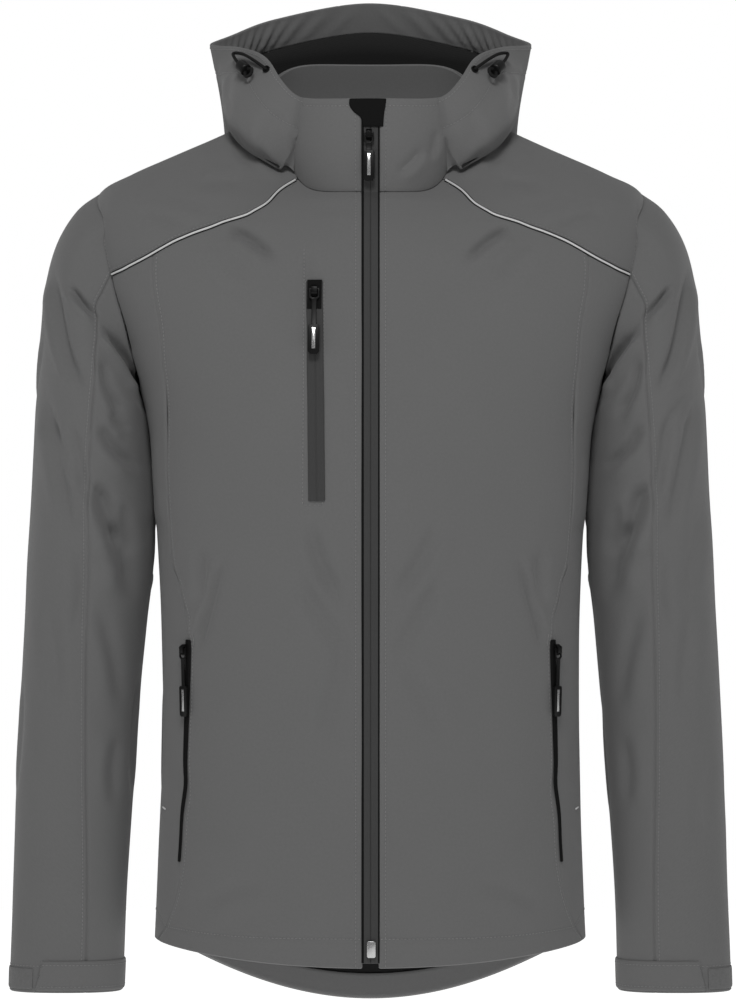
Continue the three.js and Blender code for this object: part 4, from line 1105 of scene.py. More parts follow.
def make_hem_facing():
    """The back hem, turned up inside."""
    places = np.stack(np.meshgrid(np.linspace(*TURN_UP_AROUND), np.linspace(*TURN_UP_UP)), -1)
    cloth = Cloth(places, body, body_normal, "left", lift=-WALL - TURN_UP_CLEAR, draw=0)
    # The turn-up is shell cloth painted lighter to make up for the shade inside the hem
    add_sheet("back_hem_turn_up", cloth, THIN_WALL, [TURNED_PAINTED_LIGHTER], "facing", "back_hem_facing")


SLEEVE_ROLL = 1.2
SEAM_STEPS = np.concatenate([np.linspace(0, 4.9, 8), np.linspace(5.5, 9.1, 7), [9.6, 10]])


def sleeve_front(v):
    """The sleeve's front seam."""
    at = np.interp(v * (len(SEAM_STEPS) - 1), np.arange(len(SEAM_STEPS)), SEAM_STEPS)
    return line_at(sleeve_seam, at / 10)


def make_sleeves(side):
    """Top and under sleeve, between the front and the back seam."""
    v = spaced(700, STEP)
    cuff = sleeve_front(np.array([1.0]))[0]
    for key, long, end, far in (
        ("top_sleeve", 230, -TURN_JOIN, 0), ("under_sleeve", 190, 360 - TURN_JOIN, 360),
    ):
        start = lambda f: np.stack([mix(TURN_JOIN, end, f), np.zeros(f.shape)], -1)
        behind = lambda f: (far, 0) + sleeve_front(f) * (-1, 1)
        low = two(cuff, (far, 0) + cuff * (-1, 1))
        places = fill(start, low, sleeve_front, behind, spaced(long, STEP), v)

        def relief(c):
            seams = rolled(c, left=SLEEVE_ROLL, right=ROLL, bottom=ROLL)
            if key == "under_sleeve":
                return body_relief(c) + seams + meeting_lift(c.points, c.normals, -1)
            return body_relief(c) + seams + sunk(c, left=STITCH_IN, right=STITCH_IN)

        add_panel(key, side, Cloth(places, sleeve, sleeve_normal, side, relief=relief))


COLLAR_STEP = 3.5
COLLAR_CLEAR = 0.05
COLLAR_WALL, COLLAR_INSIDE = 1.5, -2.2
COLLAR_EDGE = math.degrees(math.asin(ZIP_HALF / 82))


def make_collar():
    """The collar's outer and inner cloth."""
    around = mix(COLLAR_EDGE, 360 - COLLAR_EDGE, spaced(520, COLLAR_STEP))
    up = spaced(82, COLLAR_STEP)
    long = np.linalg.norm(collar(around, 0) - collar(around, 1), axis=-1)
    low = COLLAR_CLEAR / long
    places = np.stack([
        np.broadcast_to(around, (len(up), len(around))),
        mix(low[None], 1, up[:, None]),
    ], -1)

    def relief(c):
        seams = rolled(c, left=(0.5, 1), right=(0.5, 1), bottom=0.1)
        return body_relief(c) + seams + sunk(c, top=COLLAR_IN, left=ZIP_IN, right=ZIP_IN)

    cloth = Cloth(places, collar, collar_normal, "left", relief=relief)
    add_sheet("collar_outer_cloth", cloth, COLLAR_WALL, [SHELL], "shell", "collar_outer")
    inner = Cloth(places, collar, collar_normal, "left", lift=COLLAR_INSIDE)
    # The inner collar is shell cloth painted lighter against the shade inside the collar
    add_sheet("collar_inner_cloth", inner, THIN_WALL, [FACING], "facing", "collar_inner")


def hood_places(stations, steps):
    """Places on the hood: steps 0 to 1 below the facing, 1 to 2 across it."""
    s, k = np.meshgrid(stations, steps)
    start = facing_start(s)
    return np.stack([s, np.where(k <= 1, k * start, mix(start, 1, k - 1))], -1)


HOOD_FRONT_ROLL = (3.2, 4.5)
HOOD_NEAR = (0.6, 1.5, 2.8)
HOOD_STEP = 3.6
HOOD_DRAW = 0.2
HOOD_INSIDE = -HOOD_WALL - 0.7
LINING_WALL = 1.0
LINING_START = 0.9
FACED = np.linspace(1, 2, 22)
# Gathers of the facing on each side: place along the hood from its front end, depth, half width
GATHERS = [
    (2.3, 0.8, 0.08), (3.1, 1.0, 0.09), (3.9, 1.1, 0.08), (4.6, 1.3, 0.08), (5.2, 1.2, 0.07),
    (5.7, 1.9, 0.06), (5.92, 2.6, 0.055), (6.13, 3.1, 0.055), (6.33, 2.5, 0.05), (6.51, 3.6, 0.055),
    (6.7, 3.0, 0.05), (6.88, 3.8, 0.06), (7.06, 2.9, 0.05), (7.25, 2.3, 0.055), (7.5, 1.5, 0.06),
    (7.8, 0.8, 0.05),
]


def gathers(s, k):
    """How far the facing puckers inwards: bells along the hood, each leaning a little, that
    fade towards the edge and end at the facing's own seam."""
    station = np.where(s > HOOD_END, 2 * HOOD_END - s + 0.07, s)
    share = np.clip(k - 1, 0, 1)
    fade = (0.25 + 0.75 * smooth(share / 0.25)) * (1 - 0.75 * smooth((share - 0.45) / 0.5))
    depth = sum(
        deep * bell((station - at - 0.3 * (share - 0.5)) / wide) for at, deep, wide in GATHERS)
    return depth * fade


def hood_relief(places):
    """The hood's outside: its seams, the casing's stitched groove, and gathers beyond it."""
    def relief(c):
        station, from_casing = station_of(places[..., 0]), c.sides["top"] - CASING
        seams = rolled(c, left=0.4, right=0.4, top=(0.4, 1.2))
        if places[0, 0, 0] < 1:
            seams = rolled(c, left=HOOD_FRONT_ROLL) + seams
        pucker = sum(
            0.45 * deep * bell((station - at) / (1.3 * wide)) for at, deep, wide in GATHERS)
        return both_sides(c) + seams - 0.5 * bell(from_casing / 1.8) - pucker * bell(from_casing / 9)
    return relief


def make_hood():
    """Hood sides, centre, lining and edge facing."""
    steps = np.concatenate([np.linspace(0, 1, 46), np.linspace(1, 2, 14)[1:]])
    for key, side, start, end, long in (
        ("hood_side_left", "left", 0, HOOD_SIDE_END, 330),
        ("hood_side_right", "right", 0, HOOD_SIDE_END, 330),
        ("hood_centre", "left", HOOD_SIDE_END, 2 * HOOD_END - HOOD_SIDE_END, 60),
    ):
        places = hood_places(mix(start, end, spaced(long, HOOD_STEP, HOOD_NEAR)), steps)
        relief = hood_relief(places)
        cloth = Cloth(places, hood, hood_normal, side, relief=relief, draw=HOOD_DRAW)
        name = "hood_centre_cloth" if key == "hood_centre" else "hood_side_cloth_" + side
        add_sheet(name, cloth, HOOD_WALL, [SHELL], "shell", key)
    stations = np.linspace(LINING_START, 2 * HOOD_END - LINING_START, 180)
    places = hood_places(stations, np.linspace(0, 1, 40))
    cloth = Cloth(places, hood, hood_normal, "left", lift=HOOD_INSIDE, relief=both_sides)
    add_sheet("hood_lining_cloth", cloth, LINING_WALL, [FLEECE], "lining", "hood_lining")
    places = hood_places(np.linspace(0, 2 * HOOD_END, 330), FACED)

    def relief(c):
        pucker = gathers(places[..., 0], np.broadcast_to(FACED[:, None], places.shape[:2]))
        return both_sides(c) + rolled(c, left=HOOD_FRONT_ROLL, right=HOOD_FRONT_ROLL) - pucker

    cloth = Cloth(places, hood, hood_normal, "left", lift=HOOD_INSIDE, relief=relief)
    # The facing is shell cloth painted lighter against the shade inside the hood
    add_sheet("hood_facing_cloth", cloth, LINING_WALL, [FACING], "facing", "hood_facing")


# Zips, piping and laid-on pieces

STRIP_TOP = 14.96
ZIP_ACROSS = (0.05, 0.2, 0.4, 0.7, 1.1, 1.6, 2.2, 2.9, 3.7, 4.8, 5.6, 6.2, 6.9, 7.6)
# Where each tape's outer band starts, in millimetres across; past it the tape is painted near black
# as the shadow line beside the front's edge
ZIP_SHADE = {"left": 6.2, "right": 5.6}
CHEST_ZIP = {"x": 48.4, "wide": 13.4, "top": -146.5, "bottom": -336, "lean": 1.8}
POCKET_WIDE = 6.0
POCKET_RADIUS = 150
PIPING_WIDE = 3.4
BEAD = (-0.75, 0.95)
BEAD_HIGH, PIPING_LIFT, PIPING_SINK = 1.1, 0.75, 0.25
PIPING_SHARES = (0.008, 0.985, 142)
LAID_OUT = THIN_WALL + LAID
CHIN_GUARD = [
    (-5.6, 10, 0.7), (-7.4, 10.4, 0.79), (-13.5, 11, 0.86), (-16.9, 12, 0.93), (-16.9, 12.5, 0.995),
]
CHIN_RADIUS = 85
CUFF_TAB = {"from": -2.4, "to": 9.8, "slant": 0.35, "top": 12.735, "bottom": 12.985, "thick": 1.6}
CUFF_LOOP = {"from": 2.9, "to": 12.6, "slant": 0, "top": 12.8, "bottom": 12.975, "thick": 1.1}
TOP_STEPS = 6
UNDER_STEPS = 7


def middle_point(up):
    """The middle line of the front, from the hem to the top of the collar."""
    up = np.asarray(up, float)
    zero = np.zeros(up.shape)
    low = body(zero, np.minimum(up, NECK_ROW))
    high = collar(zero, np.clip(up - NECK_ROW, 0, 1))
    return np.where((up <= NECK_ROW)[..., None], low, high)


def strip_point(x, up):
    """The zip strip: straight across at the height of the middle line."""
    point = middle_point(up).copy()
    point[..., 0] = x
    return point


def strip_normal(x, up):
    """Outward directions on the zip strip."""
    rise = middle_point(np.minimum(up + 0.02, 15)) - middle_point(np.maximum(up - 0.02, 0))
    return unit(np.stack([np.zeros(rise.shape[:-1]), -rise[..., 2], rise[..., 1]], -1))


def zip_relief(across):
    """A covered zip's section: a fine groove where the halves meet, and the soft roll of the
    coil under the tape beside it."""
    return -0.5 * bell(across / 0.28) + 0.3 * bell((np.abs(across) - 1.7) / 1.0)


def make_front_zip():
    """Two tapes side by side between the fronts, each with its outer band painted near black as the
    shadow line under the front's edge.
    """
    up = np.linspace(ZIP_ACROSS[0], STRIP_TOP, 300)
    across = np.array(ZIP_ACROSS)
    places = np.stack(np.meshgrid(across, up), -1)
    for side in ("left", "right"):
        relief = lambda c: zip_relief(c.sides["left"] + ZIP_ACROSS[0])
        lift = -TAPE_SUNK
        cloth = Cloth(places, strip_point, strip_normal, side, lift=lift, relief=relief, draw=0)
        # Painted shadow: the tape's outer band takes the black cloth, for the shadow line where the
        # front's edge meets the zip
        painted_shadow = (across[1:] + across[:-1]) / 2 > ZIP_SHADE[side]
        add_sheet(
            "zip_strip_" + side, cloth, 1.0, [TAPE, TAPE, BLACK], "zip_tape", "zip_tape_" + side,
            marked=painted_shadow[None],
        )


def strip_relief(zip_share, roll, wide):
    """Relief of a laid-on zip: the cloth's creases, the coil, and the strip's rolled sides."""
    def relief(c):
        coil = zip_share * zip_relief(c.across - c.wide / 2)
        return body_relief(c) + coil + rolled(c, left=(roll, wide), right=(roll, wide))
    return relief


def make_chest_zip():
    """The chest pocket's strip on the wearer's right."""
    top, bottom, wide, x, lean = (CHEST_ZIP[k] for k in ("top", "bottom", "wide", "x", "lean"))
    share = np.linspace(0, 1, 7)
    knots = []
    for q in np.linspace(-wide / 2, wide / 2, 3):
        line = [(x - lean * f + q, mix(top, bottom, f)) for f in share]
        knots.append(line_seen(body, line, (15, 8), BODY_LIMITS))
    u, v = spaced(wide, 0.7, (0.2, 0.5, 1.0)), spaced(190, 3, (0.4, 1.0, 2.0))
    at = through(knots, u * 2)
    places = through(at.transpose(1, 0, 2), v * 6)
    relief = strip_relief(1, 0.25, 0.6)
    cloth = Cloth(places, body, body_normal, "right", lift=LAID_OUT, relief=relief, draw=0)
    add_sheet("chest_zip_strip", cloth, THIN_WALL, [TAPE], "zip_tape", "chest_zip_tape_right")


pocket_line = line_seen(body, POCKET_LINE, (65, 3), BODY_LIMITS)


def make_pocket_zips(side):
    """A hand pocket's strip along the front seam, painted near black for the shadow in the pocket
    slit.
    """
    half = math.degrees(POCKET_WIDE / 2 / POCKET_RADIUS)
    u, v = spaced(POCKET_WIDE, 0.5, (0.2, 0.5, 0.9)), spaced(190, 3, (0.4, 1.0, 2.0))
    line = line_at(pocket_line, v)
    far_end = float(line[0, 1] > line[-1, 1])
    taper = mix(0.45, 1.0, smooth(np.abs(v - far_end)))[:, None, None]
    places = line[:, None, :] + np.stack([mix(-half, half, u), np.zeros(u.shape)], -1)[None] * taper
    relief = strip_relief(0.7, 0.2, 0.5)
    cloth = Cloth(places, body, body_normal, side, lift=LAID_OUT, relief=relief, draw=0)
    node = "pocket_zip_tape_" + side
    # The zip tape is painted near black: painted shadow of the pocket slit
    add_sheet("pocket_zip_strip_" + side, cloth, THIN_WALL, [BLACK], "zip_tape", node)


def piping_point(across, f):
    """Beside the piping line: across in millimetres, f the share along it."""
    place, ahead, behind = (line_at(piping, f + step) for step in (0, 0.005, -0.005))
    along = body(ahead[..., 0], ahead[..., 1]) - body(behind[..., 0], behind[..., 1])
    out = body_normal(place[..., 0], place[..., 1])
    return body(place[..., 0], place[..., 1]) + unit(np.cross(along, out)) * across[..., None]


def piping_normal(across, f):
    """Outward directions on the piping."""
    place = line_at(piping, f)
    return body_normal(place[..., 0], place[..., 1])


def make_piping(side):
    """Piping in the yoke seam: a flat flange and the bright round bead beside it."""
    half = PIPING_WIDE / 2
    low, high = BEAD
    flange = [-half, -1.5, -1.2, -0.9], [1.1, 1.3, 1.5, half]
    across = np.concatenate([flange[0], np.linspace(low, high, 13), flange[1]])
    places = np.stack(np.meshgrid(across, np.linspace(*PIPING_SHARES)), -1)
    radius = (high - low) / 2
    offset = np.clip((across - (low + high) / 2) / radius, -1, 1)
    bead = BEAD_HIGH * np.sqrt(1 - offset ** 2)
    relief = lambda c: body_relief(c) + bead[None] - PIPING_SINK
    lift = PIPING_LIFT
    cloth = Cloth(places, piping_point, piping_normal, side, lift=lift, relief=relief, draw=0)
    middle = (across[1:] + across[:-1]) / 2
    bright = (middle > low) & (middle < high)
    add_sheet(
        "piping_bead_" + side, cloth, 0.5, [BLACK, BLACK, REFLECT], "piping", "piping_" + side,
        marked=bright[None],
    )


def make_chin_guard():
    """The chin guard over the top of the zip."""
    table = np.array(CHIN_GUARD, float)
    v = spaced(24, 1.2, (0.3, 0.7, 1.2))
    row = through(table, v * (len(table) - 1))
    u = spaced(22, 1.2, (0.3, 0.7, 1.2))
    x = mix(row[:, :1], row[:, 1:2], u[None])
    up = np.clip(np.broadcast_to(row[:, 2:], x.shape), 0, 0.995)
    places = np.stack([np.degrees(np.arcsin(x / CHIN_RADIUS)), up], -1)
    edge = lambda c: sum(0.8 * seam_roll(c.sides[k], 0.5, 0.7) for k in c.sides)
    cloth = Cloth(places, collar, collar_normal, "left", lift=LAID_OUT, relief=edge, draw=0)
    add_sheet("chin_guard_cloth", cloth, 1.0, [BLACK], "trim", "chin_guard")


def make_cuff_pieces(side):
    """The cuff tab and the fuzzy strip that it closes on."""
    cuff_turn = sleeve_seam[-1, 0]
    under_step = (360 - 2 * cuff_turn) / (2 * UNDER_STEPS)
    top_step = 2 * cuff_turn / (2 * TOP_STEPS)
    inner = lambda k: cuff_turn + k * np.where(k >= 0, under_step, top_step)
    outer = lambda k: cuff_turn - k * top_step
    for name, size, turn, looks, slot in (
        ("cuff_tab", CUFF_TAB, inner, [SHELL, BLACK], "shell"),
        ("cuff_loop", CUFF_LOOP, outer, [LOOP, BLACK], "loop_tape"),
    ):
        v, u = spaced(26, 1.5, (0.4, 0.9, 1.6)), spaced(110, 2.0, (0.4, 0.9, 1.6))
        k, f = np.meshgrid(mix(size["from"], size["to"], u), v)
        k = k - size["slant"] * f * (k > size["from"] + 1e-6)
        down = mix(size["top"], size["bottom"], f)
        places = np.stack([turn(k), down], -1)
        deep = 0.5 if name == "cuff_tab" else 0.3
        row = dict.fromkeys(BORDERS, TAB_IN) if name == "cuff_tab" else {}
        edges = dict.fromkeys(BORDERS, (deep, 0.8))
        relief = lambda c: body_relief(c) + rolled(c, **edges) + sunk(c, **row)
        lift = size["thick"]
        cloth = Cloth(places, sleeve, sleeve_normal, side, lift=lift, relief=relief, draw=0)
        add_sheet(name + "_cloth_" + side, cloth, lift - 0.3, looks, slot, name + "_" + side)


# Hard trims

SAME_POINT = 2e-5
FLAT_ANGLE, EDGE_ANGLE = 2, 35


def merged_copy(node, name, look, body_name, slot, bevel=0.3):
    """A CAD node's solid as one skin with rounded edges, standing for the node."""
    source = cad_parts[node]
    mesh = source.data.copy()
    mesh.transform(source.matrix_world)
    skin = bmesh.new()
    skin.from_mesh(mesh)
    bmesh.ops.remove_doubles(skin, verts=skin.verts, dist=SAME_POINT)
    bmesh.ops.dissolve_limit(
        skin, angle_limit=math.radians(FLAT_ANGLE), verts=skin.verts, edges=skin.edges)
    skin.to_mesh(mesh)
    skin.free()
    mesh.materials.clear()
    mesh.materials.append(look)
    thing = bpy.data.objects.new(name, mesh)
    bpy.context.scene.collection.objects.link(thing)
    rounding = thing.modifiers.new("rounding", "BEVEL")
    rounding.width = bevel * MM
    rounding.segments = 3
    rounding.limit_method = "ANGLE"
    rounding.angle_limit = math.radians(EDGE_ANGLE)
    for face in mesh.polygons:
        face.use_smooth = True
    add(thing, body_name, slot, node)


def frame_on(point, normal):
    """Axes standing on a surface: right, up along the cloth, outward."""
    up = unit(np.array([0, 0, 1.0]) - normal * normal[2])
    return np.array([np.cross(up, normal), up, normal])


def skin_faces(rows, around):
    """Faces of a closed skin: rows of points round it, then one point for each end."""
    ring = np.arange(around)
    after = np.roll(ring, -1)
    k = np.arange(rows - 1)[:, None] * around
    quads = np.stack([k + ring, k + after, k + around + after, k + around + ring], -1)
    last, base = (rows - 1) * around, rows * around
    ends = np.vstack([
        np.stack([after, ring, np.full(around, base)], -1),
        np.stack([last + ring, last + after, np.full(around, base + 1)], -1),
    ])
    return quads.reshape(-1, 4), ends


QUARTERS = ((1, 1), (-1, 1), (-1, -1), (1, -1))
# Rings of a plate: inset and rise, as shares of the corner, the rise from its foot or its top
PLATE_RINGS = ((1, 0, 0), (0.3, 0.3, 0), (0, 1, 0), (0, -1, 1), (0.3, -0.3, 1), (1, 0, 1))


def rounded_plate(name, centre, axes, wide, high, thick, look, body_name, slot, corner=0.5):
    """A plate with rounded corners and edges, on axes right, up and out."""
    steps = np.radians(np.linspace(0, 90, 4))
    arc = np.stack([np.cos(steps), np.sin(steps)], -1)
    turned = [arc, arc[::-1] * (-1, 1), -arc, arc[::-1] * (1, -1)]
    rings = []
    for inset, rise, top in PLATE_RINGS:
        half = np.array([wide / 2, high / 2]) - corner - inset * corner
        flat = np.concatenate([q * corner + half * sign for q, sign in zip(turned, QUARTERS)])
        rings.append(np.column_stack([flat, np.full(len(flat), top * thick + rise * corner)]))
    points = centre + np.vstack(rings + [[[0, 0, 0]], [[0, 0, thick]]]) @ axes
    quads, ends = skin_faces(len(rings), len(rings[0]))
    thing = put_mesh(name, points, quads, ends, look=look)
    add(thing, body_name, slot)


# Sliders: across the strip and up the middle line, or as seen
FRONT_SLIDER, CHEST_SLIDER, POCKET_SLIDER = (-1.4, 14.61), (48.4, -155), (159, -465)
STRIP_WIDE, STRIP_THICK, STRIP_SHARE = 3.0, 0.35, 0.72
PLATE_CORNER = 0.15
# A black plate round the chest slider: the zip's garage, and painted shadow round the slider
GARAGE_AND_SHADOW = {"wide": 12.2, "high": 25, "thick": 0.4, "down": 3}
SLIDER_HINGE, SLIDER_HINGE_OUT = 0.4, 2.5
PULL_LOW = -8.1
PULL_THICK, TAB_THICK = 1.3, 2.4
ZIPS = {
    "zip": ("front_pull", 8, 26),
    "chest_zip": ("chest_pull", 24, 25),
    "pocket_zip_left": ("left_pocket_pull", 25, 26),
    "pocket_zip_right": ("right_pocket_pull", 25, 26),
}


def make_pulls():
    """Sliders and pulls, each pull with a bright strip on its tab."""
    chest = place_seen(body, CHEST_SLIDER, (15, 8), BODY_LIMITS)
    pocket = place_seen(body, POCKET_SLIDER, (65, 3), BODY_LIMITS)
    flip = flip_of("right")
    across, up = (np.array(q) for q in FRONT_SLIDER)
    spots = {
        "zip": (strip_point(across, up), strip_normal(0, up), LAID - TAPE_SUNK),
        "chest_zip": (body(*chest) * flip, body_normal(*chest) * flip, LAID_OUT + LAID),
        "pocket_zip_left": (body(*pocket), body_normal(*pocket), LAID_OUT + LAID),
        "pocket_zip_right": (body(*pocket) * flip, body_normal(*pocket) * flip, LAID_OUT + LAID),
    }
    for name, (body_name, link_long, tab_long) in ZIPS.items():
        point, normal, lift = spots[name]
        axes = frame_on(point, normal)
        merged_copy(name + "_slider", name + "_slider_body", ENAMEL, "jacket", "slider", 0.25)
        merged_copy(name + "_pull", name + "_pull_tab", TRIM, body_name, "trim", 0.35)
        top = PULL_LOW - link_long + 2
        out = SLIDER_HINGE_OUT - PULL_THICK / 2 + (PULL_THICK - TAB_THICK) / 2 + TAB_THICK
        middle = np.array([0, SLIDER_HINGE + top - tab_long * 0.47, out - 0.12])
        centre = point + normal * lift + middle @ axes
        rounded_plate(
            name + "_pull_strip", centre, axes, STRIP_WIDE, tab_long * STRIP_SHARE, STRIP_THICK,
            SILVER, body_name, "metal", PLATE_CORNER,
        )
    merged_copy("zip_box", "zip_box_body", SILVER, "jacket", "metal", 0.4)
    # The black plate behind the chest slider: zip garage and painted shadow round the slider
    point, normal, _ = spots["chest_zip"]
    axes = frame_on(point, normal)
    centre = point + normal * (LAID_OUT + 0.1) - axes[1] * GARAGE_AND_SHADOW["down"]
    rounded_plate(
        "chest_zip_garage_and_shadow", centre, axes, GARAGE_AND_SHADOW["wide"], GARAGE_AND_SHADOW["high"], GARAGE_AND_SHADOW["thick"],
        BLACK, "jacket", "trim", PLATE_CORNER,
    )


BARTACK_ENDS = ((173.4, -604.8), (181.0, -599.4))
BARTACK_SIZE = (9.4, 1.5, 0.7)


def make_bartacks():
    """The bright bar of dense stitches beside each side seam."""
    low, high = (place_seen(body, q, (75, 2), BODY_LIMITS) for q in BARTACK_ENDS)
    middle = (low + high) / 2
    for side in ("left", "right"):
        mirror = flip_of(side)
        out = body_normal(*middle) * mirror
        along = unit((body(*high) - body(*low)) * mirror)
        along = unit(along - out * along.dot(out)) * mirror[0]
        axes = np.array([along, np.cross(out, along), out])
        centre = body(*middle) * mirror - out * 0.1
        rounded_plate(
            "bartack_" + side, centre, axes, *BARTACK_SIZE, REFLECT, "jacket", "piping", 0.3)


LOCK = {"seen": (106, 35), "radius": 5.4, "half": 8, "clear": 0.8, "tilt": 62}
CORD_RADIUS = 1.4
# The cord's way from its eyelet at the hood's edge over to the lock: place as seen, height
CORD_ARCH = [
    ((89.1, 36.8), 0.2), ((93.9, 39.6), 2.8), ((100.8, 44.3), 4.6), ((107.7, 47.6), 5.6),
    ((114.2, 47.3), 6.2),
]


def tube(name, path, radius, look, sides=10):
    """A round tube along a smooth path, closed at both ends."""
    knots = np.array(path, float)
    line = through(knots, np.linspace(0, len(knots) - 1, 14 * (len(knots) - 1) + 1))
    along = unit(np.gradient(line, axis=0))
    aside = unit(np.cross(along, (0.3, 0.2, 1.0)))
    over = np.cross(along, aside)
    turn = np.linspace(0, 2 * math.pi, sides, endpoint=False)
    turn = turn[None, :, None]
    ring = np.cos(turn) * aside[:, None] + np.sin(turn) * over[:, None]
    skin = line[:, None] + ring * radius
    points = np.vstack([skin.reshape(-1, 3), line[:1], line[-1:]])
    quads, ends = skin_faces(len(line), sides)
    if volume_of(points, quads) < 0:
        quads, ends = quads[:, ::-1], ends[:, ::-1]
    return put_mesh(name, points, quads, ends, look=look), line


# From there through the lock, round its loop and back: across, outwards from an end, height
LOCK_RUN = [
    (0, 1, 3, 0.5), (-1.4, 1, -2, 0), (-2.4, 0, 0, 0), (-2.4, -1, -0.9, 0), (-4.2, -1, -5, 0),
    (-1.8, -1, -9, 0), (2, -1, -9, 0), (4.2, -1, -5, 0), (2.4, -1, -0.9, 0), (2.4, -1, 2, 0),
]
EYELET = {"wide": 6, "thick": 0.7, "corner": 2.4, "sunk": 0.1}


def hood_place(target):
    """The hood's point and outward direction that show at a target near the lock."""
    at = place_seen(hood, target, (3.2, 0.85), (0.5, 6, 0.4, 0.98))
    return hood(*at), hood_normal(*at)


def make_locks():
    """Cord locks on the hood and the elastic cord that runs from an eyelet through each."""
    point, normal = hood_place(LOCK["seen"])
    tilt = math.radians(-LOCK["tilt"])
    cos, sin = math.cos(tilt), math.sin(tilt)
    axes = np.array([[cos, sin, 0], [-sin, cos, 0], [0, 0, 1]]) @ frame_on(point, normal)
    centre = point + normal * (LOCK["radius"] + LOCK["clear"])
    run = np.array([(x, end * LOCK["half"] + y, z) for x, end, y, z in LOCK_RUN])
    arch = []
    for target, lift in CORD_ARCH:
        spot, out = hood_place(target)
        arch.append(spot + out * lift)
    hole, out = hood_place(CORD_ARCH[0][0])
    for side in ("left", "right"):
        flip = flip_of(side)
        merged_copy("hood_lock_" + side, "cord_lock_" + side, TRIM, "jacket", "trim", 0.4)
        path = np.vstack([arch, centre + run @ axes]) * flip
        thing, line = tube("cord_" + side, path, CORD_RADIUS, CORD)
        add(thing, "jacket", "cord", "hood_cord_" + side)
        ring_axes = frame_on(hole, out) * flip
        ring_axes[0] *= flip[0]
        rounded_plate(
            "cord_eyelet_" + side, (hole - out * EYELET["sunk"]) * flip, ring_axes, EYELET["wide"],
            EYELET["wide"], EYELET["thick"], BLACK, "jacket", "trim", EYELET["corner"],
        )


# Sewing

STITCH_PITCH = 3.3
STITCH_LONG = 2.3
STITCH_THICK = 0.34
stitch_runs = []
# Rows beside a border of a piece: piece, border, distance in, and the part of the border
SIDE_ROWS = [
    ("front_cloth_", "left", ZIP_IN),
    ("front_cloth_", "right", STITCH_IN, (0.0, 0.72)),
    ("front_cloth_", "bottom", HEM_IN),
    ("side_front_cloth_", "bottom", HEM_IN),
    ("yoke_cloth_", "bottom", STITCH_IN),
    ("top_sleeve_cloth_", "left", STITCH_IN),
    ("top_sleeve_cloth_", "right", STITCH_IN),
    ("top_sleeve_cloth_", "top", CUFF_IN),
    ("under_sleeve_cloth_", "top", CUFF_IN),
    ("cuff_tab_cloth_", "bottom", TAB_IN),
    ("cuff_tab_cloth_", "top", TAB_IN),
]
WHOLE_ROWS = [
    ("back_cloth", "bottom", HEM_IN),
    ("back_cloth", "top", STITCH_IN),
    ("hood_side_cloth_left", "top", HOOD_EDGE_IN),
    ("hood_side_cloth_left", "top", CASING),
    ("hood_side_cloth_right", "top", HOOD_EDGE_IN),
    ("hood_side_cloth_right", "top", CASING),
    ("hood_centre_cloth", "top", HOOD_EDGE_IN),
    ("hood_centre_cloth", "top", CASING),
    ("collar_outer_cloth", "top", COLLAR_IN),
    ("collar_outer_cloth", "left", ZIP_IN),
    ("collar_outer_cloth", "right", ZIP_IN),
]
# Rows on the body as they show from the front: round the chest zip, and a bar by each pocket
CHEST_OUTLINE = [
    [(57.5, -118), (57.5, -147), (58.8, -340)],
    [(58.8, -340), (42.0, -340)],
    [(40.2, -147), (41.6, -340)],
    [(57.5, -147), (40.2, -147)],
]
POCKET_BAR = [(152.2, -452), (152.8, -461)]
BAR_PITCH = 0.8
BODY_HALF = 190
STITCH_RAISE = 0.05


def sew(line, out, pitch=STITCH_PITCH):
    """Adds a row of stitches along a line that lies on cloth."""
    long = np.concatenate([[0], np.cumsum(np.linalg.norm(np.diff(line, axis=0), axis=1))])
    count = int(long[-1] / pitch)
    if count < 2:
        return
    at = (np.arange(count) + 0.5) * long[-1] / count

    def along_it(places, values):
        return np.column_stack([np.interp(places, long, q) for q in values.T])

    ahead, behind = along_it(at + 0.5, line), along_it(at - 0.5, line)
    stitch_runs.append((along_it(at, line), unit(ahead - behind), unit(along_it(at, out))))


def sew_beside(name, border, distance, along=(0.0, 1.0)):
    """A row of stitches beside a border of a named piece of cloth."""
    line, out = cloths[name][1].beside(border, distance, along)
    sew(line, out)


def sew_seen(line, side, pitch=STITCH_PITCH):
    """A row of stitches on the body along a line as it shows from the front."""
    steps = np.linspace(0, len(line) - 1, 24 * (len(line) - 1) + 1)
    knots = np.array(line, float)
    flat = np.column_stack([np.interp(steps, np.arange(len(line)), q) for q in knots.T])
    guess = (np.degrees(np.arcsin(min(flat[0, 0] / BODY_HALF, 0.97))), 4)
    places = line_seen(body, [tuple(q) for q in flat], guess, BODY_LIMITS)
    points, out = body(places[:, 0], places[:, 1]), body_normal(places[:, 0], places[:, 1])
    points, out = points * flip_of(side), out * flip_of(side)
    lift = crease_lift(points, out, side)
    sew(points + out * (lift[:, None] + STITCH_RAISE), out, pitch)


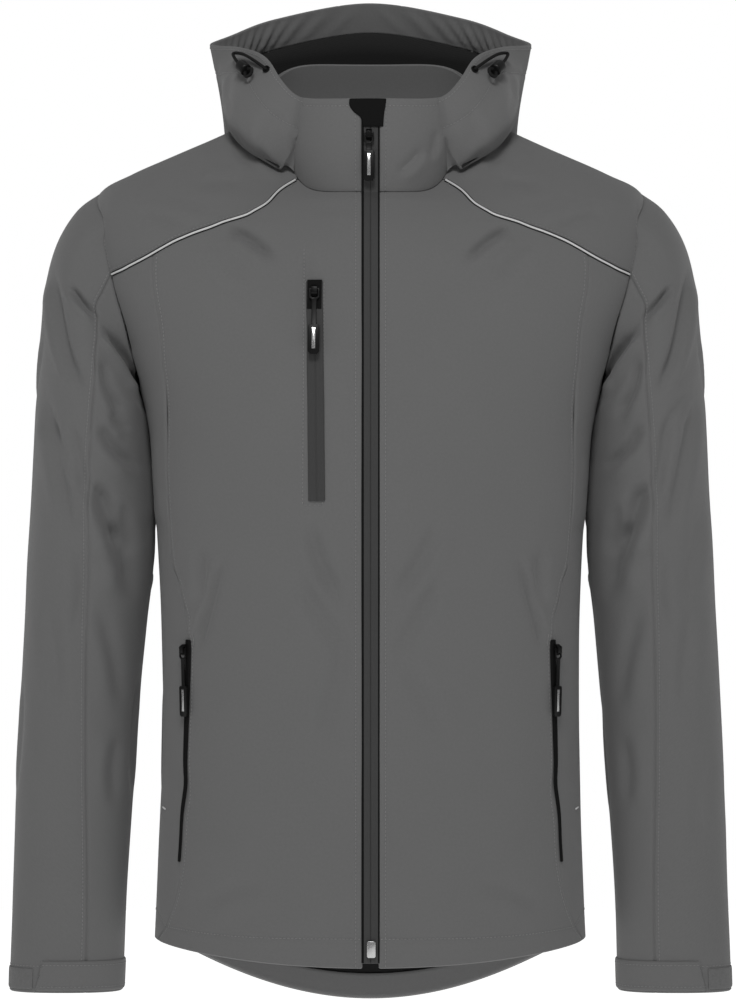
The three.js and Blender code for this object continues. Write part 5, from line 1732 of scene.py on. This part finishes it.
def make_stitches():
    """All stitches as one piece: each a slim five-sided spindle, a little arched."""
    centre, along, up = (np.vstack(group) for group in zip(*stitch_runs))
    aside = unit(np.cross(along, up))
    turn = np.radians(np.arange(0, 360, 72))
    spokes = np.stack([np.zeros(5), np.cos(turn), np.sin(turn)], -1)
    template = np.vstack([
        [[-0.5, 0, -0.6]], spokes + (-0.3, 0, 0), spokes + (0.3, 0, 0), [[0.5, 0, -0.6]],
    ])
    size = np.array([STITCH_LONG, STITCH_THICK, STITCH_THICK])
    template = template * size
    parts = (
        template[None, :, :1] * along[:, None] + template[None, :, 1:2] * aside[:, None]
        + (template[None, :, 2:] + 0.12) * up[:, None]
    )
    points = centre[:, None] + parts
    k = np.arange(5)
    after = (k + 1) % 5
    caps = np.vstack([
        np.stack([np.zeros(5, int), 1 + after, 1 + k], -1),
        np.stack([np.full(5, 11), 6 + k, 6 + after], -1),
    ])
    sides = np.stack([1 + k, 1 + after, 6 + after, 6 + k], -1)
    shift = (np.arange(len(centre)) * 12)[:, None, None]
    thing = put_mesh(
        "topstitching", points.reshape(-1, 3), (sides[None] + shift).reshape(-1, 4),
        (caps[None] + shift).reshape(-1, 3), look=THREAD)
    add(thing, "jacket", "shell")


for SIDE in ("left", "right"):
    make_fronts(SIDE)
    make_side_fronts(SIDE)
    make_yokes(SIDE)
    make_sleeves(SIDE)
make_back()
make_hem_facing()
make_collar()
make_hood()
make_front_zip()
make_chest_zip()
make_chin_guard()
for SIDE in ("left", "right"):
    make_pocket_zips(SIDE)
    make_piping(SIDE)
    make_cuff_pieces(SIDE)
    for KEY, *ROW in SIDE_ROWS:
        sew_beside(KEY + SIDE, *ROW)
for ROW in WHOLE_ROWS:
    sew_beside(*ROW)
for LINE in CHEST_OUTLINE:
    sew_seen(LINE, "right")
for SIDE in ("left", "right"):
    sew_seen(POCKET_BAR, SIDE, BAR_PITCH)
make_stitches()
make_pulls()
make_bartacks()
make_locks()


# Stage, light and camera

FLOOR_HALF, FLOOR_LOW = 8000.0, -1400.0
FLOOR_PALE, FLOOR_GLOW = 0.8, 0.82
SURROUND = 0.34
LIGHT_PLACE, LIGHT_TARGET = (-0.12, -2.2, 1.9), (0, 0, -0.35)
LIGHT_SIZE, LIGHT_POWER = (1.0, 0.7), 58
WHITE = (1, 1, 1, 1)


def make_stage():
    """A wide pale floor well below the jacket."""
    material, _, shader = nodes_of("pale_floor")
    settings(shader, Base_Color=(*[FLOOR_PALE] * 3, 1), Roughness=0.9)
    settings(shader, Emission_Color=WHITE, Emission_Strength=FLOOR_GLOW)
    corners = [(x * FLOOR_HALF, y * FLOOR_HALF, FLOOR_LOW) for x, y in QUARTERS[2:] + QUARTERS[:2]]
    floor = put_mesh("floor", np.array(corners), [[0, 1, 2, 3]], look=material)


def make_light():
    """White surroundings and one broad light above the front."""
    world = bpy.data.worlds.new("studio")
    world.use_nodes = True
    tree = world.node_tree
    background = tree.nodes["Background"]
    background.inputs["Color"].default_value = WHITE
    rays = tree.nodes.new("ShaderNodeLightPath")
    strength = tree.nodes.new("ShaderNodeMath")
    strength.operation = "MULTIPLY_ADD"
    link(tree, rays.outputs["Is Camera Ray"], strength.inputs[0])
    strength.inputs[1].default_value = 1 - SURROUND
    strength.inputs[2].default_value = SURROUND
    link(tree, strength.outputs[0], background.inputs["Strength"])
    bpy.context.scene.world = world
    data = bpy.data.lights.new("front_light", "AREA")
    data.shape = "RECTANGLE"
    data.size, data.size_y = LIGHT_SIZE
    data.energy = LIGHT_POWER
    lamp = bpy.data.objects.new("front_light", data)
    lamp.location = LIGHT_PLACE
    aim = Vector(LIGHT_TARGET) - Vector(LIGHT_PLACE)
    lamp.rotation_euler = aim.to_track_quat("-Z", "Y").to_euler()
    bpy.context.scene.collection.objects.link(lamp)
    bpy.context.scene.view_settings.view_transform = "Standard"


def make_camera():
    """The photograph's eye: level, 4 m in front, its frame 0.865 m high at the jacket."""
    data = bpy.data.cameras.new("camera")
    data.sensor_width = SENSOR
    data.lens = SENSOR * EYE_DISTANCE / (FRAME_HIGH * MM_PER_PIXEL)
    camera = bpy.data.objects.new("camera", data)
    camera.location = (CAMERA_ASIDE * MM, -EYE_DISTANCE * MM, CAMERA_UP * MM)
    camera.rotation_euler = (math.pi / 2, 0, 0)
    bpy.context.scene.collection.objects.link(camera)
    bpy.context.scene.camera = camera


# Each piece's flat size

NARROWEST_CUT = 10.5


def declare_cuts():
    """Measures each cloth piece's flat size from its own lengths and passes over strips under the
    narrowest cut; nothing is said, rounded or kept. Strips under the narrowest cut that can be
    said are left out."""
    for thing, cloth in cloths.values():
        widest, highest = float(cloth.wide.max()), float(cloth.high.max())
        if min(widest, highest) < NARROWEST_CUT:
            continue


declare_cuts()
make_stage()
make_light()
make_camera()
